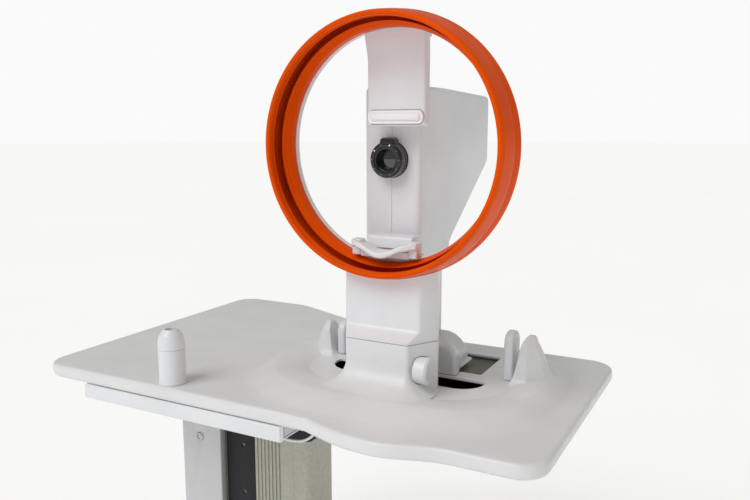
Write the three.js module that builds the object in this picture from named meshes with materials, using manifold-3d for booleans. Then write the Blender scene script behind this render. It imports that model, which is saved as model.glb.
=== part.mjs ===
// Table-mounted retinal imaging instrument: head ring, chin rest, XYZ optical head and lift table.
// Millimetres, +Z up. The patient sits on the -Y side. The work is laid out around the centre of the
// head ring's front lip, and the finished group is set down on its base centre at the end.
import * as THREE from 'three';
import Module from 'manifold-3d';
import { mergeVertices } from 'three/addons/utils/BufferGeometryUtils.js';

const wasm = await Module();
wasm.setup();

// ---------------------------------------------------------------- driving dimensions
const TABLE_HEIGHT = 760; // tabletop above the floor at rest
const RING_ABOVE_TABLE = 425; // ring centre above the tabletop
const TABLE_LEFT = -675; // tabletop edges, from the ring's centre plane
const TABLE_RIGHT = 328;
const TABLE_FRONT = -126;
const TABLE_BACK = 400;
const TABLE_BACK_LEFT = 525;
const TABLE_THICK = 25;
const BULGE_START = -62;
const BULGE_APEX_X = 70;
const BULGE_END = 195;
const BULGE_DEPTH = 32;
const BULGE_STEP = 5; // the edge right of the bulge stands this much further forward

const RING_LIP_R = 215; // head ring: front lip and rear rim
const RING_REAR_R = 224;
const RING_BORE_R = 195;
const RING_DEPTH = 67;
const BACK_RING_R = 193;
const BACK_RING_DEPTH = 13;
const RING_SIDES = 48; // facets of every round face on the ring's axis

const BOWL_CENTRE_Y = 165; // bowl in the tabletop
const BOWL_RAISE = 10; // bowl floor above the tabletop
const RIM_RAISE = 20; // rim of the bowl above the tabletop
const HORN_RIGHT_H = 84; // heights of the horns over the bowl floor
const HORN_LEFT_H = 62;
const HORN_LEFT_SHIFT = 15; // how far the left horn stands in from the right one's mirror place
const BOWL_POWER = 2.8; // superellipse exponent of the bowl's plan
const BOWL_SKIN = 4;

const COLUMN_FRONT_Y = 6; // lower column plan
const COLUMN_FRONT_HALF = 58.5;
const COLUMN_SIDE_Y = 62;
const COLUMN_SIDE_HALF = 90;
const COLUMN_REAR_Y = 80;
const COLUMN_REAR_HALF = 84;
const UPPER_FRONT_Y = 29; // upper column plan
const UPPER_FRONT_HALF = 70;
const COLUMN_SEAM = 99; // seam between the two, above the tabletop
const WALL = 3.5;
const TOWER_HALF = 46;
const TOWER_DEPTH = 24;
const TOWER_TOP = -186;

const KNOB_R = 23; // chin-rest knob
const KNOB_Y = 30;
const KNOB_ABOVE_TABLE = 54;
const KNOB_END_X = 91;
const PINION_R = 10;

const CHIN_TOP = -160; // chin rest
const CHIN_HALF = 62;
const STEM_Y0 = 84;
const STEM_Y1 = 97;

const HEAD_X = -28; // optical head, lined up with one eye
const HEAD_FRONT_Y = 120;
const HEAD_HALF = 55;
const HEAD_REAR_HALF = 72;
const HEAD_REAR_Y = 425;
const HEAD_TOP = 104;
const HEAD_WALL = 3;
const LENS_Z = -24;
const LENS_R = 31.5;
const LENS_PROUD = 25;

const SLIDE_GAP = 0.4; // running clearance
const FIT_GAP = 0.3; // clearance between pieces that rest on each other

const LIFT_X = -267; // lift column
const LIFT_Y = 145;
const LIFT_W = 134;
const LIFT_D = 90;
const LIFT_UPPER_LEN = 380;
const LIFT_DOWN = 80; // how far the table sinks from rest
const PROFILE_WALL = 10; // upper lift profile's wall, and its clearance to the lower one
const PROFILE_GAP = 1;
const DRIVE_HEIGHT = 132;
const CABINET_X = -480;
const CABINET_W = 111;
const CABINET_D = 90;
const CABINET_H = 430;

const TRAY_RIGHT = -108; // keyboard tray
const TRAY_LEFT = -560;
const TRAY_DEPTH = 200;
const TRAY_FRONT_H = 27;

const BASE_LEFT = -560; // base frame and castors
const BASE_RIGHT = 130;
const BASE_FOOT_LEN = 560;
const CASTOR_R = 37.5;
const CASTOR_TRAIL = 28;

// ---------------------------------------------------------------- derived levels
const tableTop = -RING_ABOVE_TABLE;
const tableBottom = tableTop - TABLE_THICK;
const floorZ = tableTop - TABLE_HEIGHT;
const bowlFloor = tableTop + BOWL_RAISE;
const bowlRim = tableTop + RIM_RAISE;
const seamZ = tableTop + COLUMN_SEAM;
const knobZ = tableTop + KNOB_ABOVE_TABLE;

// ---------------------------------------------------------------- solids
/** A manifold solid from any closed three.js geometry. */
function solid(geometry) {
  const bare = geometry.index ? geometry.toNonIndexed() : geometry.clone();
  for (const key of Object.keys(bare.attributes)) {
    if (key !== 'position') bare.deleteAttribute(key);
  }
  const merged = mergeVertices(bare, 1e-4);
  const index = merged.index.array;
  const faces = [];
  for (let i = 0; i < index.length; i += 3) {
    const [a, b, c] = [index[i], index[i + 1], index[i + 2]];
    if (a !== b && b !== c && c !== a) faces.push(a, b, c);
  }
  return new wasm.Manifold(
    new wasm.Mesh({
      numProp: 3,
      vertProperties: new Float32Array(merged.attributes.position.array),
      triVerts: new Uint32Array(faces),
    }),
  );
}

/** Points of a polygon whose corners [x, y, radius] are rounded by arcs. */
function rounded(corners, steps = 3) {
  const out = [];
  const count = corners.length;
  corners.forEach(([x, y, radius = 0], i) => {
    if (radius === 0) {
      out.push(new THREE.Vector2(x, y));
      return;
    }
    const here = new THREE.Vector2(x, y);
    const before = corners[(i + count - 1) % count];
    const after = corners[(i + 1) % count];
    const toBefore = new THREE.Vector2(before[0] - x, before[1] - y).normalize();
    const toAfter = new THREE.Vector2(after[0] - x, after[1] - y).normalize();
    const half = Math.acos(THREE.MathUtils.clamp(toBefore.dot(toAfter), -1, 1)) / 2;
    const reach = radius / Math.tan(half);
    const centre = toBefore.clone().add(toAfter).normalize().multiplyScalar(radius / Math.sin(half));
    centre.add(here);
    const start = here.clone().addScaledVector(toBefore, reach).sub(centre);
    const end = here.clone().addScaledVector(toAfter, reach).sub(centre);
    let sweep = end.angle() - start.angle();
    if (sweep > Math.PI) sweep -= 2 * Math.PI;
    if (sweep < -Math.PI) sweep += 2 * Math.PI;
    for (let k = 0; k <= steps; k += 1) {
      const angle = start.angle() + (sweep * k) / steps;
      out.push(new THREE.Vector2(Math.cos(angle), Math.sin(angle)).multiplyScalar(radius).add(centre));
    }
  });
  return out;
}

/** Points of a rectangle between two corners, with rounded corners. */
function rectangle(x0, y0, x1, y1, radius = 0, steps = 3) {
  return rounded([[x0, y0, radius], [x1, y0, radius], [x1, y1, radius], [x0, y1, radius]], steps);
}

/** Points of a circle. */
function circle(cx, cy, radius, count = 24) {
  return Array.from({ length: count }, (_, i) => {
    const angle = (2 * Math.PI * i) / count;
    return new THREE.Vector2(cx + radius * Math.cos(angle), cy + radius * Math.sin(angle));
  });
}

/** A prism over an outline in X and Y, from z0 up to z1. */
function prismZ(points, z0, z1) {
  const flat = new THREE.ExtrudeGeometry(new THREE.Shape(points), { depth: z1 - z0, bevelEnabled: false });
  return solid(flat.translate(0, 0, z0));
}

/** A prism over an outline in X and Z, from y0 back to y1. */
function prismY(points, y0, y1) {
  const flat = new THREE.ExtrudeGeometry(new THREE.Shape(points), { depth: y1 - y0, bevelEnabled: false });
  return solid(flat.rotateX(Math.PI / 2).translate(0, y1, 0));
}

/** A prism over an outline in Y and Z, from x0 right to x1. */
function prismX(points, x0, x1) {
  const flat = new THREE.ExtrudeGeometry(new THREE.Shape(points), { depth: x1 - x0, bevelEnabled: false });
  const toYZ = new THREE.Matrix4().makeBasis(
    new THREE.Vector3(0, 1, 0),
    new THREE.Vector3(0, 0, 1),
    new THREE.Vector3(1, 0, 0),
  );
  return solid(flat.applyMatrix4(toYZ).translate(x0, 0, 0));
}

/** A box between two corners. */
function box(x0, y0, z0, x1, y1, z1) {
  const cube = new THREE.BoxGeometry(x1 - x0, y1 - y0, z1 - z0);
  return solid(cube.translate((x0 + x1) / 2, (y0 + y1) / 2, (z0 + z1) / 2));
}

/** A body turned about an axis from a profile of [radius, height] pairs; it may be a closed ring. */
function turned(profile, axis, centre, segments = 24) {
  const points = profile.map(([radius, height]) => new THREE.Vector2(radius, height));
  if (THREE.ShapeUtils.isClockWise(points)) points.reverse();
  if (!(points[0].x === 0 && points.at(-1).x === 0)) points.push(points[0].clone());
  const shape = new THREE.LatheGeometry(points, segments);
  if (axis === 'z') shape.rotateX(Math.PI / 2);
  if (axis === 'x') shape.rotateZ(-Math.PI / 2);
  return solid(shape.translate(...centre));
}

/** A plain round bar along an axis, starting at centre. */
function bar(axis, centre, radius, length, segments = 14) {
  return turned([[0, 0], [radius, 0], [radius, length], [0, length]], axis, centre, segments);
}

/** A closed body through a list of sections with the same number of points. */
function loft(sections) {
  const count = sections[0].length;
  const positions = sections.flat().flatMap((p) => [p.x, p.y, p.z]);
  const index = [];
  for (let s = 0; s + 1 < sections.length; s += 1) {
    for (let i = 0; i < count; i += 1) {
      const [a, b] = [s * count + i, s * count + ((i + 1) % count)];
      index.push(a, b, b + count, a, b + count, a + count);
    }
  }
  const last = (sections.length - 1) * count;
  for (let i = 1; i + 1 < count; i += 1) {
    index.push(0, i + 1, i, last, last + i, last + i + 1);
  }
  const body = new THREE.BufferGeometry();
  body.setAttribute('position', new THREE.Float32BufferAttribute(positions, 3));
  body.setIndex(index);
  return solid(body);
}

/** The joined solid of several. */
function joined(...solids) {
  return solids.reduce((sum, next) => sum.add(next));
}

/** A solid with others cut from it. */
function cut(body, ...tools) {
  return tools.reduce((rest, tool) => rest.subtract(tool), body);
}

// ---------------------------------------------------------------- scene graph
const group = new THREE.Group();

/** Add a solid to the model as a named mesh with its own finish. */
function add(parent, name, body, [color, roughness, metalness]) {
  const data = body.getMesh();
  const geometry = new THREE.BufferGeometry();
  geometry.setAttribute('position', new THREE.BufferAttribute(new Float32Array(data.vertProperties), 3));
  geometry.setIndex(new THREE.BufferAttribute(new Uint32Array(data.triVerts), 1));
  geometry.computeVertexNormals();
  const mesh = new THREE.Mesh(geometry, new THREE.MeshStandardMaterial({ color, roughness, metalness }));
  mesh.name = name;
  parent.add(mesh);
}

const finish = {
  shell: [0xe9e9ec, 0.35, 0.0],
  top: [0xdcdcd6, 0.3, 0.0],
  orange: [0xe0520c, 0.3, 0.0],
  black: [0x141416, 0.45, 0.0],
  rubber: [0x1d1d1f, 0.8, 0.0],
  shield: [0x62625a, 0.55, 0.1],
  aluminium: [0xa8a89c, 0.4, 0.8],
  steel: [0x8c8f92, 0.35, 0.9],
  frame: [0x3a3b3d, 0.5, 0.6],
  cabinet: [0xc3c3c6, 0.45, 0.2],
  glass: [0x26323c, 0.05, 0.0],
  pad: [0xf3f3f3, 0.6, 0.0],
  board: [0x2b5a3a, 0.6, 0.1],
  lead: [0xe6e6e6, 0.5, 0.0],
};

/** Groups that move together share one parent in the scene graph. */
function body() {
  const part = new THREE.Group();
  group.add(part);
  return part;
}

// ---------------------------------------------------------------- tabletop
/** The tabletop's outline, with its bulge in front of the instrument. */
function tableOutline() {
  const bulge = [];
  const rise = 8;
  for (let i = 1; i <= rise; i += 1) {
    const t = i / rise;
    const x = THREE.MathUtils.lerp(BULGE_START, BULGE_APEX_X, t);
    bulge.push([x, TABLE_FRONT - BULGE_DEPTH * Math.sin((Math.PI / 2) * t)]);
  }
  const fall = 8;
  for (let i = 1; i <= fall; i += 1) {
    const t = i / fall;
    const x = THREE.MathUtils.lerp(BULGE_APEX_X, BULGE_END, t);
    const drop = (BULGE_DEPTH - BULGE_STEP) * (1 - Math.cos(Math.PI * t)) / 2;
    bulge.push([x, TABLE_FRONT - BULGE_DEPTH + drop]);
  }
  return rounded([
    [TABLE_LEFT, TABLE_FRONT, 45],
    [BULGE_START, TABLE_FRONT, 6],
    ...bulge,
    [TABLE_RIGHT, TABLE_FRONT - BULGE_STEP, 46],
    [TABLE_RIGHT, TABLE_BACK, 50],
    [-180, TABLE_BACK, 120],
    [-480, TABLE_BACK_LEFT, 120],
    [TABLE_LEFT, TABLE_BACK_LEFT, 45],
  ]);
}

/** One closed curve of the bowl: a superellipse with its own front and rear reach. */
function bowlCurve(halfWidth, front, rear, height, rimShare, count = 44) {
  return Array.from({ length: count }, (_, i) => {
    const angle = (2 * Math.PI * i) / count;
    const [c, s] = [Math.cos(angle), Math.sin(angle)];
    const reach = s < 0 ? front : rear;
    const power = 2 / BOWL_POWER;
    const x = halfWidth * Math.sign(c) * Math.abs(c) ** power;
    const y = BOWL_CENTRE_Y + reach * Math.sign(s) * Math.abs(s) ** power;
    const fade = 1 - THREE.MathUtils.smoothstep(y, BOWL_CENTRE_Y + 45, BOWL_CENTRE_Y + 130);
    return new THREE.Vector3(x, y, height + rimShare * (RIM_RAISE - BOWL_RAISE) * fade);
  });
}

/** The raised mound around the bowl, rim included. */
function mound() {
  const curves = [
    bowlCurve(300, 290, 228, tableTop - 6, 0),
    bowlCurve(300, 290, 228, tableTop - 0.4, 0),
    bowlCurve(288, 270, 220, tableTop + 2.5, 0),
    bowlCurve(268, 240, 205, tableTop + 7.5, 0.6),
    bowlCurve(255, 220, 195, bowlFloor - 0.8, 0.95),
    bowlCurve(250, 213, 190, bowlFloor, 1),
    bowlCurve(240, 200, 182, bowlFloor, 0.8),
    bowlCurve(218, 176, 170, bowlFloor, 0.25),
    bowlCurve(195, 150, 155, bowlFloor, 0),
  ];
  return loft(curves);
}

/** One horn at the side of the bowl; side is +1 on the right and -1 on the left. */
function horn(side) {
  const height = side > 0 ? HORN_RIGHT_H : HORN_LEFT_H;
  const levels = [
    [tableTop - 4, 184, 262, 148, 232],
    [bowlFloor, 190, 254, 155, 224],
    [bowlFloor + 0.14 * height, 194, 248, 158, 216],
    [bowlFloor + 0.5 * height, 198, 241, 162, 208],
    [bowlFloor + 0.78 * height, 201, 233, 166, 202],
    [bowlFloor + height, 207, 224, 172, 193],
  ];
  const shift = side > 0 ? 0 : HORN_LEFT_SHIFT;
  const sections = levels.map(([z, left, right, front, rear]) => {
    const [w, d] = [right - left, rear - front];
    const plan = [
      [left, front + 0.1 * d],
      [left + 0.1 * w, front],
      [left + 0.45 * w, front],
      [left + 0.82 * w, front + 0.3 * d],
      [right, front + 0.65 * d],
      [right - 0.12 * w, rear],
      [left + 0.15 * w, rear],
      [left, rear - 0.2 * d],
    ];
    const points = plan.map(([x, y]) => new THREE.Vector3(side * x + shift, y, z));
    return side > 0 ? points : points.reverse();
  });
  return loft(sections);
}

/** Plan of the lower column, drawn in by an inset. */
function lowerPlan(inset) {
  return rounded([
    [-COLUMN_FRONT_HALF + inset * 0.7, COLUMN_FRONT_Y + inset, 8],
    [COLUMN_FRONT_HALF - inset * 0.7, COLUMN_FRONT_Y + inset, 8],
    [COLUMN_SIDE_HALF - inset * 1.2, COLUMN_SIDE_Y, 5],
    [COLUMN_REAR_HALF - inset, COLUMN_REAR_Y - inset, 4],
    [-COLUMN_REAR_HALF + inset, COLUMN_REAR_Y - inset, 4],
    [-COLUMN_SIDE_HALF + inset * 1.2, COLUMN_SIDE_Y, 5],
  ], 3);
}

const SLOT_HALF = 150; // slot over the front rail
const SLOT_FRONT = 84;
const SLOT_REAR = 142;
const WINDOW_HALF = 127; // opening over the dust shield
const WINDOW_FRONT = 178;
const WINDOW_REAR = 295;
const CAVITY_HALF = 215; // space for the stage under the bowl floor
const CAVITY_FRONT = 83;
const CAVITY_REAR = 308;

/** Tabletop moulding with mound, bowl, horns and lower column. */
function tabletop() {
  const slab = prismZ(tableOutline(), tableBottom + 3, tableTop);
  const under = prismZ(tableOutline().map((p) => new THREE.Vector2(p.x * 0.994, p.y * 0.985)),
    tableBottom, tableBottom + 4);
  const column = prismZ(lowerPlan(0), tableTop - 6, seamZ);
  const foot = loft([
    lowerPlan(-9).map((p) => new THREE.Vector3(p.x, p.y, bowlFloor - 5)),
    lowerPlan(-4).map((p) => new THREE.Vector3(p.x, p.y, bowlFloor + 9)),
    lowerPlan(0.5).map((p) => new THREE.Vector3(p.x, p.y, bowlFloor + 26)),
  ]);
  const slot = rounded([
    [-SLOT_HALF, SLOT_REAR, 5], [-SLOT_HALF, SLOT_FRONT + 4, 44],
    [-COLUMN_REAR_HALF - 2, SLOT_FRONT + 4, 4], [COLUMN_REAR_HALF + 2, SLOT_FRONT + 4, 4],
    [SLOT_HALF, SLOT_FRONT + 4, 44], [SLOT_HALF, SLOT_REAR, 5],
  ], 6);
  const seat = bar('z', [SOCKET[0], SOCKET[1], tableTop - 1], SOCKET_R + 2, 1 + SOCKET_SEAT, 32);
  const knobHole = bar('x', [30, KNOB_Y, knobZ], 6.5, 70);
  const knobRecess = bar('x', [KNOB_END_X - 25, KNOB_Y, knobZ], KNOB_R + 1.2, 60, 24);
  return cut(
    joined(slab, under, mound(), column, foot, horn(1), horn(-1), seat),
    prismZ(lowerPlan(WALL + 0.5), tableBottom - 1, seamZ + 1),
    box(-CAVITY_HALF, CAVITY_FRONT, tableBottom - 1, CAVITY_HALF, CAVITY_REAR, bowlFloor - BOWL_SKIN),
    prismZ(slot, bowlFloor - 20, bowlFloor + 5),
    prismZ(rectangle(-WINDOW_HALF, WINDOW_FRONT, WINDOW_HALF, WINDOW_REAR, 4), bowlFloor - 20,
      bowlFloor + 5),
    knobHole,
    knobRecess,
  );
}

// ---------------------------------------------------------------- column, ring and chin rest
/** Cone around the head ring, larger than it by a clearance. */
function ringEnvelope(clearance) {
  const lip = RING_LIP_R + clearance;
  const rear = RING_REAR_R + clearance;
  const depth = RING_DEPTH + BACK_RING_DEPTH + 1;
  return turned([
    [0, -2], [lip, -2], [lip, 0], [lip + 2, 8], [lip + 6, 36], [rear, RING_DEPTH], [rear, depth], [0, depth],
  ], 'y', [0, 0, 0], RING_SIDES);
}

/** Plan of the upper column, drawn in by an inset. */
function upperPlan(inset) {
  return rounded([
    [-UPPER_FRONT_HALF + inset * 0.7, UPPER_FRONT_Y + inset, 10],
    [UPPER_FRONT_HALF - inset * 0.7, UPPER_FRONT_Y + inset, 10],
    [COLUMN_SIDE_HALF - inset * 1.2, COLUMN_SIDE_Y, 5],
    [COLUMN_REAR_HALF - inset, COLUMN_REAR_Y - inset, 4],
    [-COLUMN_REAR_HALF + inset, COLUMN_REAR_Y - inset, 4],
    [-COLUMN_SIDE_HALF + inset * 1.2, COLUMN_SIDE_Y, 5],
  ], 3);
}

const UPPER_LIP = 22; // height of the sloped foot where the upper column meets the lower one
const TOWER_REAR = COLUMN_REAR_Y + TOWER_DEPTH;

/** Upper column shell: a cradle for the ring in front and a tower for the chin rest behind. */
function upperShell() {
  const bottom = seamZ + 0.8;
  const top = -RING_LIP_R + 20;
  const main = loft([
    lowerPlan(0).map((p) => new THREE.Vector3(p.x, p.y, bottom)),
    lowerPlan(0).map((p) => new THREE.Vector3(p.x, p.y, bottom + 4)),
    upperPlan(0).map((p) => new THREE.Vector3(p.x, p.y, bottom + UPPER_LIP)),
    upperPlan(0).map((p) => new THREE.Vector3(p.x, p.y, top)),
  ]);
  const hollow = loft([
    lowerPlan(WALL).map((p) => new THREE.Vector3(p.x, p.y, bottom - 1)),
    lowerPlan(WALL).map((p) => new THREE.Vector3(p.x, p.y, bottom + 4)),
    upperPlan(WALL).map((p) => new THREE.Vector3(p.x, p.y, bottom + UPPER_LIP)),
    upperPlan(WALL).map((p) => new THREE.Vector3(p.x, p.y, top + 1)),
  ]).subtract(ringEnvelope(WALL + 1));
  const tower = prismZ(rectangle(-TOWER_HALF, COLUMN_REAR_Y - 12, TOWER_HALF, TOWER_REAR, 5), bottom,
    TOWER_TOP);
  const shaft = box(-TOWER_HALF + WALL, COLUMN_REAR_Y + 1.8, bottom + WALL,
    TOWER_HALF - WALL, TOWER_REAR - WALL, TOWER_TOP + 1);
  const door = box(-TOWER_HALF + WALL, COLUMN_REAR_Y - 14, bottom + WALL, TOWER_HALF - WALL,
    COLUMN_REAR_Y + 3, -RING_REAR_R - 5);
  return cut(joined(main, tower), ringEnvelope(1), hollow, shaft, door);
}

/** Head ring: a deep hoop with a rolled lip, stepped bore and fine grooves near its rear. */
function headRing() {
  const outer = [];
  const grooves = 3;
  for (let i = 0; i < grooves; i += 1) {
    const y = RING_DEPTH - 22 + i * 7;
    const r = THREE.MathUtils.lerp(RING_LIP_R, RING_REAR_R, y / RING_DEPTH) + 1.2;
    outer.push([r, y], [r - 1.5, y + 1.2], [r + 0.3, y + 2.8]);
  }
  return turned([
    [RING_LIP_R - 3, -1], [RING_LIP_R, 1], [RING_LIP_R + 2, 8], [RING_LIP_R + 6, 36],
    ...outer,
    [RING_REAR_R, RING_DEPTH], [RING_BORE_R + 5, RING_DEPTH], [RING_BORE_R + 2, RING_DEPTH - 6],
    [RING_BORE_R, RING_DEPTH - 16], [RING_BORE_R + 3, RING_DEPTH - 27],
    [RING_BORE_R + 7, RING_DEPTH - 34], [RING_BORE_R + 6.5, RING_DEPTH - 38],
    [RING_BORE_R + 9.5, RING_DEPTH - 44], [RING_LIP_R - 6, 8], [RING_LIP_R - 5, 1],
  ], 'y', [0, 0, 0], RING_SIDES);
}

/** White ring behind the head ring. */
function backRing() {
  const y0 = RING_DEPTH + FIT_GAP;
  const y1 = RING_DEPTH + BACK_RING_DEPTH;
  return turned([
    [BACK_RING_R, y0 + 1], [BACK_RING_R + 1, y0], [RING_REAR_R - 3, y0], [RING_REAR_R - 3, y1 - 4],
    [RING_REAR_R - 8, y1], [BACK_RING_R + 3, y1], [BACK_RING_R, y1 - 3],
  ], 'y', [0, 0, 0], RING_SIDES);
}

const BRIDGE_HALF = 55;
const BRIDGE_BOTTOM = 34;
const BRIDGE_Y = 78;
const PAD_TOP = 59;

/** Forehead bridge: a curved panel hanging from the back ring. */
function foreheadBridge() {
  const side = rounded([
    [BRIDGE_Y + 0.5, BRIDGE_BOTTOM, 2], [BRIDGE_Y + 20, BRIDGE_BOTTOM, 10], [BRIDGE_Y + 22, 150, 30],
    [BRIDGE_Y + 14, 206, 4], [BRIDGE_Y + 2.4, 206, 0], [BRIDGE_Y + 2.4, 189, 0],
    [BRIDGE_Y - 9, 189, 2], [BRIDGE_Y - 4, 165, 30], [BRIDGE_Y, 140, 30], [BRIDGE_Y, PAD_TOP + 3, 0],
    [BRIDGE_Y + 8, PAD_TOP + 3, 0], [BRIDGE_Y + 8, BRIDGE_BOTTOM + 3, 0],
    [BRIDGE_Y + 0.5, BRIDGE_BOTTOM + 3, 0],
  ], 3);
  const front = rounded([
    [-BRIDGE_HALF, BRIDGE_BOTTOM - 2, 8], [BRIDGE_HALF, BRIDGE_BOTTOM - 2, 8],
    [BRIDGE_HALF, 145, 40], [BRIDGE_HALF + 4, 220, 0], [-BRIDGE_HALF - 4, 220, 0], [-BRIDGE_HALF, 145, 40],
  ], 3);
  const panel = prismX(side, -70, 70).intersect(prismY(front, BRIDGE_Y - 20, BRIDGE_Y + 40));
  const outside = cut(
    prismY(circle(0, 0, 300, 12), BRIDGE_Y - 30, RING_DEPTH + BACK_RING_DEPTH + 0.3),
    prismY(circle(0, 0, BACK_RING_R - 0.5, RING_SIDES), BRIDGE_Y - 31, RING_DEPTH + BACK_RING_DEPTH + 1),
  );
  return cut(panel, outside);
}

/** Soft pad on the front of the bridge. */
function foreheadPad() {
  const side = rounded([
    [BRIDGE_Y - 7, BRIDGE_BOTTOM + 4, 5], [BRIDGE_Y + 7.6, BRIDGE_BOTTOM + 4, 0],
    [BRIDGE_Y + 7.6, PAD_TOP + 2, 0], [BRIDGE_Y - 7, PAD_TOP + 2, 5],
  ], 3);
  const plan = rounded([
    [-BRIDGE_HALF + 2, BRIDGE_Y - 8, 7], [BRIDGE_HALF - 2, BRIDGE_Y - 8, 7],
    [BRIDGE_HALF - 2, BRIDGE_Y + 9, 0], [-BRIDGE_HALF + 2, BRIDGE_Y + 9, 0],
  ], 3);
  return prismX(side, -70, 70).intersect(prismZ(plan, 0, 100));
}

const STEM_HALF = 30;
const ARM_TOP = -288;
const RACK_Y = KNOB_Y + PINION_R;
const RACK_PITCH = Math.PI;

/** Chin carriage: block behind the cup, stem down the tower, arm under the ring and toothed rack. */
function chinCarriage() {
  const block = prismX(rounded([
    [57, CHIN_TOP - 14, 3], [102, CHIN_TOP - 14, 3], [102, CHIN_TOP + 8, 6], [57, CHIN_TOP + 8, 5],
  ], 4), -42, 42);
  const stem = box(-STEM_HALF, STEM_Y0, ARM_TOP - 12, STEM_HALF, STEM_Y1, CHIN_TOP - 10);
  const arm = box(-14, RACK_Y + 2, ARM_TOP - 12, 14, STEM_Y1 - 1, ARM_TOP);
  const rackBottom = knobZ - 22;
  const rack = box(-6, RACK_Y + 1.6, rackBottom, 6, RACK_Y + 9, ARM_TOP - 6);
  const teeth = [];
  const first = Math.ceil((rackBottom - knobZ + 1.6) / RACK_PITCH);
  const last = Math.floor((ARM_TOP - 14 - knobZ) / RACK_PITCH);
  for (let i = first; i <= last; i += 1) {
    const z = knobZ + (i + 0.5) * RACK_PITCH;
    const tooth = [
      [RACK_Y + 2, z - 1.1], [RACK_Y + 2, z + 1.1], [RACK_Y - 0.7, z + 0.4], [RACK_Y - 0.7, z - 0.4],
    ];
    teeth.push(prismX(tooth.map(([y, zz]) => new THREE.Vector2(y, zz)).reverse(), -5, 5));
  }
  return joined(block, stem, arm, rack, ...teeth);
}

/** Chin cup: a saddle with a rolled front lip and a cheek at each end. */
function chinCup() {
  const plan = rounded([
    [-CHIN_HALF, 32, 10], [-36, 17, 30], [0, 12, 60], [36, 17, 30], [CHIN_HALF, 32, 10],
    [CHIN_HALF, 56.4, 3], [-CHIN_HALF, 56.4, 3],
  ], 3);
  const body = prismZ(plan, CHIN_TOP - 16, CHIN_TOP);
  const dish = turned([[0, -66], [24, -61], [46, -45], [60, -22], [66, 0], [0, 0]], 'y',
    [0, 62, CHIN_TOP + 55], 28);
  const cheek = (side) => prismZ(rectangle(Math.min(side * 46, side * CHIN_HALF), 34,
    Math.max(side * 46, side * CHIN_HALF), 56, 3), CHIN_TOP - 24, CHIN_TOP + 3);
  return joined(cut(body, dish), cheek(1), cheek(-1));
}

/** Knob with its shaft and the pinion that meets the rack. */
function chinKnob() {
  const grip = turned([
    [0, 0], [KNOB_R - 1, 0], [KNOB_R, 2], [KNOB_R, 21], [KNOB_R - 4, 25], [KNOB_R - 9, 25],
    [KNOB_R - 10, 24], [0, 24],
  ], 'x', [KNOB_END_X - 25, KNOB_Y, knobZ], 24);
  const shaft = bar('x', [-8, KNOB_Y, knobZ], 5, KNOB_END_X - 12);
  const teeth = 20;
  const wheel = [];
  for (let i = 0; i < teeth; i += 1) {
    const middle = (2 * Math.PI * i) / teeth;
    const spans = [[-0.075, 0], [-0.035, 1.9], [0.035, 1.9], [0.075, 0]];
    for (const [turn, extra] of spans) {
      const r = PINION_R - 1.3 + extra;
      wheel.push(new THREE.Vector2(KNOB_Y + r * Math.cos(middle + turn),
        knobZ + r * Math.sin(middle + turn)));
    }
  }
  return joined(grip, shaft, prismX(wheel, -5, 5));
}

/** Steel post in the lower column that carries the chin guide. */
function columnPost() {
  const leg = (side) => box(Math.min(side * 20, side * 34), 20, tableBottom + 1, Math.max(side * 20,
    side * 34), 52, seamZ - 4);
  const shelf = box(-34, 58, knobZ + 20, 34, 68, seamZ + 40);
  const tie = (side) => box(Math.min(side * 20, side * 34), 50, knobZ + 20, Math.max(side * 20, side * 34),
    60, seamZ + 40);
  const bore = bar('x', [-60, KNOB_Y, knobZ], 5.2, 120);
  const foot = box(-40, 18, tableBottom + 1, 40, 62, tableBottom + 7);
  return cut(joined(leg(1), leg(-1), tie(1), tie(-1), shelf, foot), bore,
    box(-11, 10, knobZ - 30, 11, 57, seamZ + 50), box(-15, 40, ARM_TOP - 20, 15, 80, seamZ + 60));
}

/** Rear clip on the column's side, holding the stage harness. */
function rearClip() {
  return prismZ(rectangle(52, COLUMN_REAR_Y + FIT_GAP, 70, COLUMN_REAR_Y + 12, 4), seamZ + 15, seamZ + 52);
}

// ---------------------------------------------------------------- grips, socket and shield
/** Hand grip beside a horn: an upright post with a round top. */
function handGrip(side) {
  const radius = 23;
  const top = bowlFloor + (side > 0 ? HORN_RIGHT_H : HORN_LEFT_H) + 4;
  const profile = rounded([
    [168, bowlFloor + 0.6, 3], [168 + 2 * radius, bowlFloor + 0.6, 3], [168 + 2 * radius, top, radius - 0.5],
    [168, top, radius - 0.5],
  ], 6);
  const shift = side > 0 ? 0 : HORN_LEFT_SHIFT;
  const [near, far] = [171 - shift, 188.5 - shift];
  const wall = prismX(profile, Math.min(side * near, side * far), Math.max(side * near, side * far));
  const plan = rounded([
    [side * near, 168, 7], [side * far, 168, 7], [side * far, 168 + 2 * radius, 7],
    [side * near, 168 + 2 * radius, 7],
  ], 3);
  return wall.intersect(prismZ(side > 0 ? plan : plan.reverse(), bowlFloor, top + 10));
}

const SOCKET = [-362, -97];
const SOCKET_R = 24;
const SOCKET_H = 64; // height of the post below its cap
const SOCKET_SEAT = 0.8; // height of the round seat under it
const socketZ = tableTop + SOCKET_SEAT + FIT_GAP;

/** Hollow post that takes an accessory, with a foot on the round seat. */
function poleSocket() {
  return turned([
    [12, 0], [SOCKET_R + 1, 0], [SOCKET_R + 1, 4], [SOCKET_R, 6], [SOCKET_R, SOCKET_H], [12, SOCKET_H],
  ], 'z', [SOCKET[0], SOCKET[1], socketZ], 24);
}

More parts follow.
